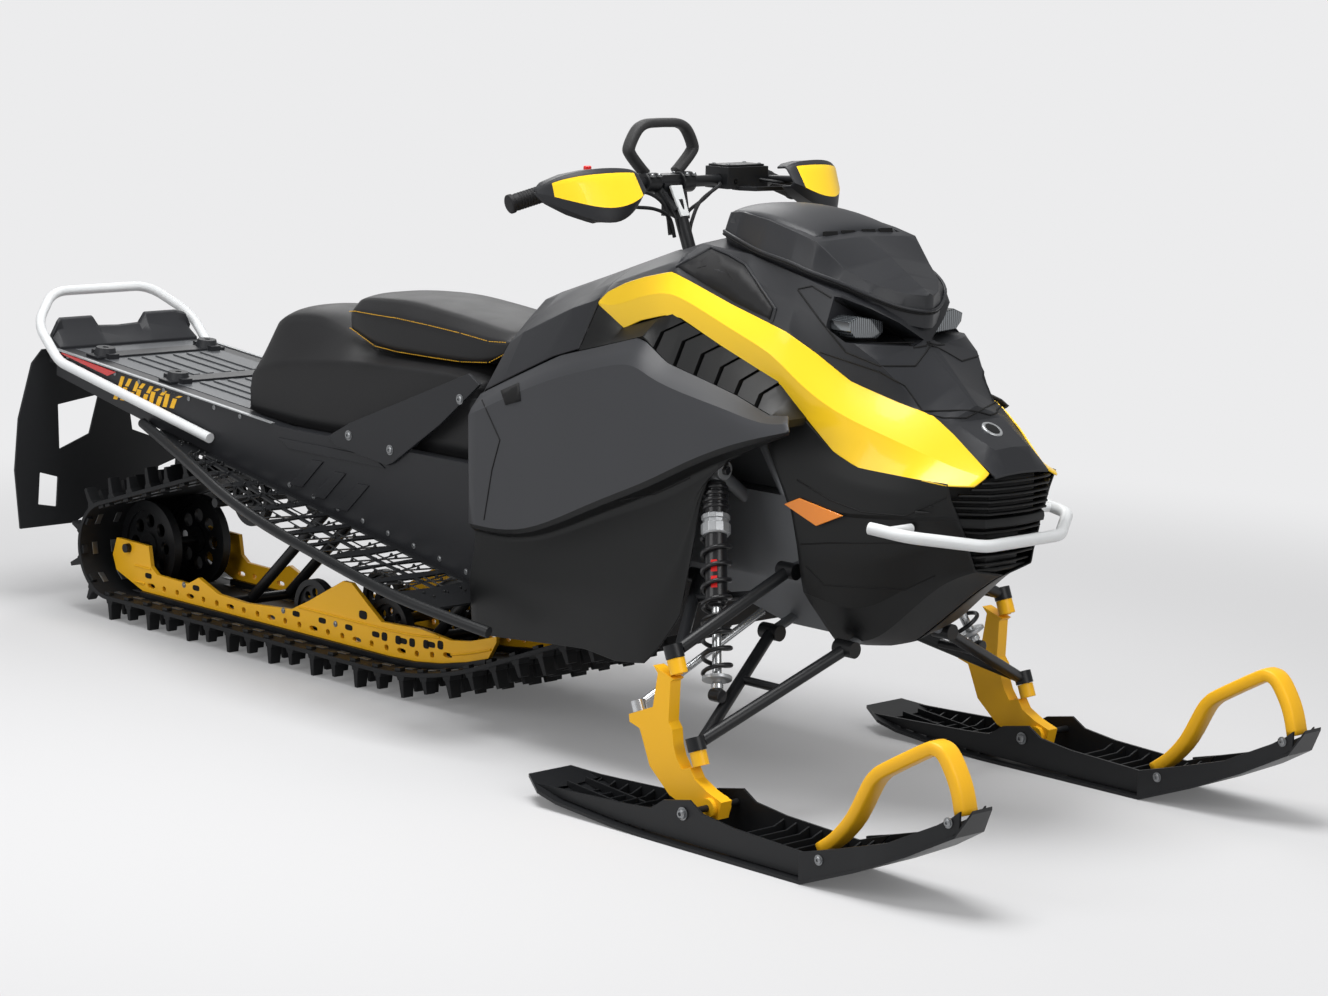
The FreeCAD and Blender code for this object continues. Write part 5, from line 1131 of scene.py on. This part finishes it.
# Skis
# Each ski is a moulded polyethylene runner with upright side walls and cross ribs, bolted to the spindle's
# foot. The loop at its tip is yellow plastic, held by plated bolts through the walls.
# Polyethylene is waxy and a little shiny where snow has rubbed it; the loop is the same, coloured through
ski_polyethylene = finish_of("moulded_polyethylene", "#1A1B1D", 0.4, 0.9, 0.00008)
loop_yellow = finish_of("moulded_yellow_loop", "#F5B81F", 0.42, 0.7, 0.00006, mottle=0.03)
finish(["ski_right", "ski_left"], ski_polyethylene, 0.0015)
ski_middle, wall_offset = 452.5, 66
loop_line = [(1216, 0, 44), (1250, 0, 70), (1286, 0, 112), (1318, 0, 172), (1334, 0, 193), (1356, 0, 209),
             (1440, 0, 257), (1460, 0, 263), (1478, 0, 256), (1498, 0, 229), (1512, 0, 200), (1522, 0, 164)]
for side, sign in (("right", -1), ("left", 1)):
    route = [point + Vector((0, sign * ski_middle, 0)) for point in smooth_route(loop_line, 3)]
    loop = add_piece("ski_loop_" + side, [swept(route, oval(12, 20, 16, 0.4), (0, 1, 0))], loop_yellow,
                     "ski_" + side)
    shade_smooth(loop)
    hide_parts("ski_handle_" + side)

# Ribs moulded into the sole, crossed by two long ones, and the screws through the saddle and side walls
sole_line = [(560, 37), (640, 20), (780, 9), (860, 6), (1240, 6), (1350, 48), (1450, 94)]
wall_line = [(560, 42), (661, 46), (800, 52), (864, 58), (1062, 62), (1232, 58), (1300, 78)]
rib_spans = ((600, 836), (1056, 1286))


def height_on(line, x):
    """Height of a line of (x, z) points at x."""
    for (ax, az), (bx, bz) in zip(line, line[1:]):
        if x <= bx:
            return az + (bz - az) * (x - ax) / (bx - ax)
    return line[-1][1]


for side, sign in (("right", -1), ("left", 1)):
    middle = sign * ski_middle
    ribs, screws = [], []
    for x in [*range(600, 840, 34), *range(1056, 1290, 30)]:
        low, high = height_on(sole_line, x) - 2, height_on(wall_line, x) - 10
        ribs.append(slab([(x, middle + share * wall_offset, z) for share, z in
                          ((-1, low), (1, low), (1, high), (0.6, high - 10), (-0.6, high - 10), (-1, high))],
                         (4, 0, 0)))
    for share in (-0.34, 0.34):
        for first, last in rib_spans:
            ribs.append(slab([(x, middle + share * wall_offset, height_on(sole_line, x) + rise)
                              for x, rise in ((first, -2), (last, -2), (last, 12), (first, 12))], (0, 4, 0)))
    for turn in (-1, 1):
        screws.append(screw((1278, middle + turn * 69, 56), (0, turn, 0), 6.5, 4))
        screws.append(screw((945, middle + turn * 70.5, 58), (0, turn, 0), 9, 7))
    add_piece("ski_cross_ribs_" + side, ribs, ski_polyethylene, "ski_" + side, 0.0008)
    add_piece("ski_screws_" + side, screws, zinc_screw, "ski_" + side)

# Ski tips: the side walls run on from the saddle up to the tip
bpy.context.view_layer.update()
tip_wall = [(1236, 55), (1300, 72), (1415, 106), (1500, 150), (1533, 172), (1546, 196)]


def loft_strip(sections):
    """Points and faces of a bar through four-cornered sections."""
    points = [corner for section in sections for corner in section]
    faces = [(4 * k + j, 4 * k + (j + 1) % 4, 4 * k + 4 + (j + 1) % 4, 4 * k + 4 + j)
             for k in range(len(sections) - 1) for j in range(4)]
    return points, faces + [(0, 1, 2, 3), tuple(range(4 * len(sections) - 4, 4 * len(sections)))]


def ski_top(x, y):
    """Height of the right ski's upper face at x, y, or none beside it."""
    hit, place, _, _ = nodes["ski_right"].ray_cast(Vector((x / 1000, y / 1000, 1)), Vector((0, 0, -1)))
    return place.z * 1000 if hit else None


def ski_reach(x, flank):
    """How far the right ski reaches from its middle at x, or none past its tip."""
    return next((reach for reach in range(88, 20, -1) if ski_top(x, -ski_middle + flank * reach) is not None), None)


walls = {-1: [], 1: []}
for flank in (-1, 1):
    sections = []
    for x in range(1236, 1548, 12):
        reach = ski_reach(x, flank)
        if reach is None:
            continue
        low = (ski_top(x, -ski_middle + 0.4 * flank * reach) or 0) - 2
        high = max(height_on(tip_wall, x), low + 6)
        outer, inner = flank * (reach - 0.5), flank * (reach - 6)
        sections.append([(x, outer, low), (x, outer, high), (x, inner, high), (x, inner, low)])
    for sign in (-1, 1):
        walls[sign].append(loft_strip([[(x, sign * ski_middle + y, z) for x, y, z in section]
                                       for section in sections]))
for side, sign in (("right", -1), ("left", 1)):
    add_piece("ski_tip_walls_" + side, walls[sign], ski_polyethylene, "ski_" + side, 0.0008)

# Bolts through the walls, one beside the loop's foot and one at the tip
for side, sign in (("right", -1), ("left", 1)):
    bolts = [screw((x, sign * ski_middle + flank * (ski_reach(x, flank) - 0.5), z), (0, flank, 0), 7, 4)
             for x, z in ((1278, 50), (1519, 157)) for flank in (-1, 1)]
    add_piece("ski_tip_bolts_" + side, bolts, zinc_screw, "ski_" + side)


# Track and rear suspension
# The track is cord-reinforced rubber with moulded lugs; the rails are yellow aluminium extrusions over black
# plastic shoes, and the wheels are black plastic with rubber rims.
# Rubber is dull with a coarse bloom, the shoes are slick, and the wheels have a fine moulded grain
track_rubber = finish_of("track_rubber", "#17181A", 0.6, 1.4, 0.0002)
shoe_plastic = finish_of("slide_shoe_plastic", "#151618", 0.4, mottle=0.08)
wheel_plastic = finish_of("wheel_plastic", "#1A1B1D", 0.45, 0.7, 0.00006)
finish(["rail_right", "rail_left"], spindle_yellow, 0.001)
finish(["slide_shoes"], shoe_plastic, 0.001)
finish(["track_wheels"], wheel_plastic, 0.001)
finish(["suspension_arms"], black_coat, 0.001)

# The belt runs round the rear wheels, the rails' curve, the sprockets and the carrier wheels
belt_inside, belt_outside, belt_half, row_spacing = 0.5, 9.5, 190, 8
wheels = [(-1225, 157, 102), (-310, 1055, 1000), (330, 325, 92), (-820, 322, 60)]


def belt_route(offset, step=9.0):
    """Points along the belt's line, offset outwards from the wheels, evenly spaced."""
    rounds = [(x, z, radius + offset) for x, z, radius in wheels]
    runs = []
    for (ax, az, ar), (bx, bz, br) in zip(rounds, rounds[1:] + rounds[:1]):
        turn = math.atan2(bz - az, bx - ax) - math.acos((ar - br) / math.hypot(bx - ax, bz - az))
        runs.append(((ax + ar * math.cos(turn), az + ar * math.sin(turn)),
                     (bx + br * math.cos(turn), bz + br * math.sin(turn))))
    corners = []
    for number, (x, z, radius) in enumerate(rounds):
        arrive, leave = runs[number - 1][1], runs[number][0]
        start = math.atan2(arrive[1] - z, arrive[0] - x)
        stop = math.atan2(leave[1] - z, leave[0] - x)
        stop += 2 * math.pi if stop < start else 0
        count = max(2, round((stop - start) * radius / 4))
        corners += [(x + radius * math.cos(start + (stop - start) * k / count),
                     z + radius * math.sin(start + (stop - start) * k / count)) for k in range(count + 1)]
    route, carried = [], 0.0
    for (ax, az), (bx, bz) in zip(corners, corners[1:] + corners[:1]):
        length = math.hypot(bx - ax, bz - az)
        while carried < length:
            route.append((ax + (bx - ax) * carried / length, az + (bz - az) * carried / length))
            carried += step
        carried -= length
    return route


def belt_step(line, k):
    """A point of the belt's line and the direction of travel there."""
    here, after = (Vector((x, 0, z)) for x, z in line[k:k + 2])
    return here, (after - here).normalized()


belt_line = belt_route(belt_outside)
belt_depth = belt_outside - belt_inside
belt_section = [(-belt_depth, -belt_half), (0, -belt_half), (0, belt_half), (-belt_depth, belt_half)]
parts = [swept([Vector((x, 0, z)) for x, z in belt_line], belt_section, (0, -1, 0), cyclic=True)]

# Lugs as (start, end, height) across the belt, for the two rows that take turns
lug_rows = (((-187, -156, 45), (-152, -122, 37), (-118, -88, 45), (-84, -58, 35), (58, 84, 35), (88, 118, 45),
             (122, 152, 37), (156, 187, 45)),
            ((-188, -160, 35), (-110, -78, 44), (-74, -42, 36), (-38, -4, 45), (4, 38, 45), (42, 74, 36),
             (78, 110, 44), (160, 188, 35)))
lug_foot = (9, 13, 9, 0)  # height, half length below and above, draft at the ends
box_faces = [(3, 2, 1, 0), (4, 5, 6, 7), (0, 1, 5, 4), (1, 2, 6, 5), (2, 3, 7, 6), (3, 0, 4, 7)]
for row, k in enumerate(range(4, len(belt_line) - 4, row_spacing)):
    here, along = belt_step(belt_line, k)
    out = Vector((along.z, 0, -along.x))
    for start, end, height in lug_rows[row % 2]:
        for high, wide, tip, draft in ((height, 8, 4.5, 3), lug_foot):
            corners = [(-1, -wide, start), (-1, wide, start), (-1, wide, end), (-1, -wide, end),
                       (high, -tip, start + draft), (high, tip, start + draft), (high, tip, end - draft),
                       (high, -tip, end - draft)]
            parts.append(([tuple(here + out * up + along * a + Vector((0, y, 0))) for up, a, y in corners],
                          box_faces))
track = add_piece("track_belt_and_lugs", parts, track_rubber, "chassis", 0.0008)
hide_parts("track")


def belt_block(here, along, half, start, end, height):
    """Flat block on the belt's inner face, from start to end across it."""
    corners = [here + along * a + Vector((0, y, 0))
               for a, y in ((-half, start), (half, start), (half, end), (-half, end))]
    return slab(corners, tuple(Vector((-along.z, 0, along.x)) * height))


# Guide clips at the belt's windows, four to every row, and the drive blocks inside its edges
clips, drivers = [], []
inner_line = belt_route(belt_inside)
for k in range(0, len(inner_line) - 1, row_spacing):
    place = belt_step(inner_line, k)
    clips += [belt_block(*place, 14, y - 7, y + 7, 2.0) for y in (-150, -100, 100, 150)]
    drivers += [belt_block(*place, 9, y, y + 14, 7) for y in (-186, 172)]
add_piece("track_clips", clips, zinc_screw, "chassis", 0.0006)
add_piece("track_edge_blocks", drivers, track_rubber, "chassis", 0.001)

# Rails: the extrusions' raised ribs, the windows milled between them, and the bolts that hold the cross shafts
bpy.context.view_layer.update()


def belt_height(x):
    """Height of the belt's inner face under the rails."""
    x0, z0, radius = wheels[1]
    return z0 - math.sqrt(radius ** 2 - max(0.0, x - x0) ** 2)


def on_rail(x, z):
    """True where the right rail's outer face is solid at x, z."""
    hit, place, _, _ = nodes["rail_right"].ray_cast(Vector((x / 1000, -1, z / 1000)), Vector((0, 1, 0)))
    return hit and place.y < -0.1285


rail_face = 130
# Rows of windows: height over the belt, first and last x, half length, half height and pitch
window_rows = ((50, -1150, 220, 12, 6, 88), (50, -330, 150, 9, 9, 44), (84, -400, 80, 13, 9, 48))
windows, rail_ribs, rail_bolts = [], [], []
for sign in (-1, 1):
    rear_window = [(-1216 + a, sign * rail_face, 192 + b) for a, b in oval(36, 7.2, 14, 0.6)]
    if all(on_rail(x, z) for x, _, z in rear_window):
        windows.append(slab(rear_window, (0, sign * 0.8, 0)))
    for lift, first, last, half_long, half_high, pitch in window_rows:
        ring = oval(half_long, half_high, 14, 0.6)
        for x in range(first, last, pitch):
            z = belt_height(x) + lift
            if all(on_rail(x + 1.4 * a, z + 1.4 * b) for a, b in ring):
                windows.append(slab([(x + a, sign * rail_face, z + b) for a, b in ring], (0, sign * 0.8, 0)))
    lift, first, _, _, _, pitch = window_rows[0]
    for x in range(first, -400, pitch):
        z = belt_height(x) + lift
        if x // pitch % 2 and on_rail(x + 40, z) and on_rail(x + 48, z):
            rail_bolts.append(screw((x + 44, sign * rail_face, z), (0, sign, 0), 5, 3))
    for lift in (30, 66):
        run = [Vector((x, sign * (rail_face + 0.5), belt_height(x) + lift)) for x in range(-1200, 260, 12)
               if on_rail(x, belt_height(x) + lift)]
        breaks = [k for k in range(1, len(run)) if run[k].x - run[k - 1].x > 13]
        for start, end in zip([0] + breaks, breaks + [len(run)]):
            if end - start > 3:
                rail_ribs.append(swept(run[start:end], oval(2.6, 2.2, 8), (0, 1, 0)))
add_piece("rail_windows", windows, shadow_gap, "chassis")
add_piece("rail_ribs", rail_ribs, spindle_yellow, "chassis")
add_piece("rail_bolts", rail_bolts, zinc_screw, "chassis")


# Running board lattice
# Fine crossed bars are pressed into each board's black-coated sheet, between the tunnel and the outer tube,
# with upright teeth along them that hold the rider's boots.
board_outline = [(-1000, 206), (-867, 257), (-740, 299), (-489, 373), (-165, 413), (0, 400), (110, 381)]
board_inner, tube_margin = 203, 9


def on_board(x, y):
    """Point on the boards' sheet, which rises towards the rear."""
    return Vector((x, y, 282.6 - board_slope * x))


board_bars, board_teeth = [], []
for sign in (-1, 1):
    for k, x in enumerate(range(-960, 90, 34)):
        far_x = min(104, max(-990, x + (46 if k % 2 else -30)))
        far_y = height_on(board_outline, far_x) - tube_margin
        if far_y - board_inner < 14:
            continue
        start, end = on_board(x, sign * board_inner), on_board(far_x, sign * far_y)
        board_bars.append(swept([start, end], oval(3.0, 1.8, 4), (0, 0, 1)))
        for share in (0.25, 0.5, 0.75):
            board_teeth.append(turned([(0, 4.2), (5.5, 2.6), (6.5, 1.6)], start.lerp(end, share), (0.17, 0, 1), 6))
    for share in (0.36, 0.68):
        run = [on_board(x, sign * (board_inner + share * (height_on(board_outline, x) - tube_margin - board_inner)))
               for x in range(-940, 100, 40)]
        board_bars.append(swept(run, oval(2.6, 1.8, 4), (0, 0, 1)))
add_piece("board_cross_bars", board_bars, board_coat, "chassis")
add_piece("board_teeth", board_teeth, board_coat, "chassis")


bpy.context.view_layer.update()
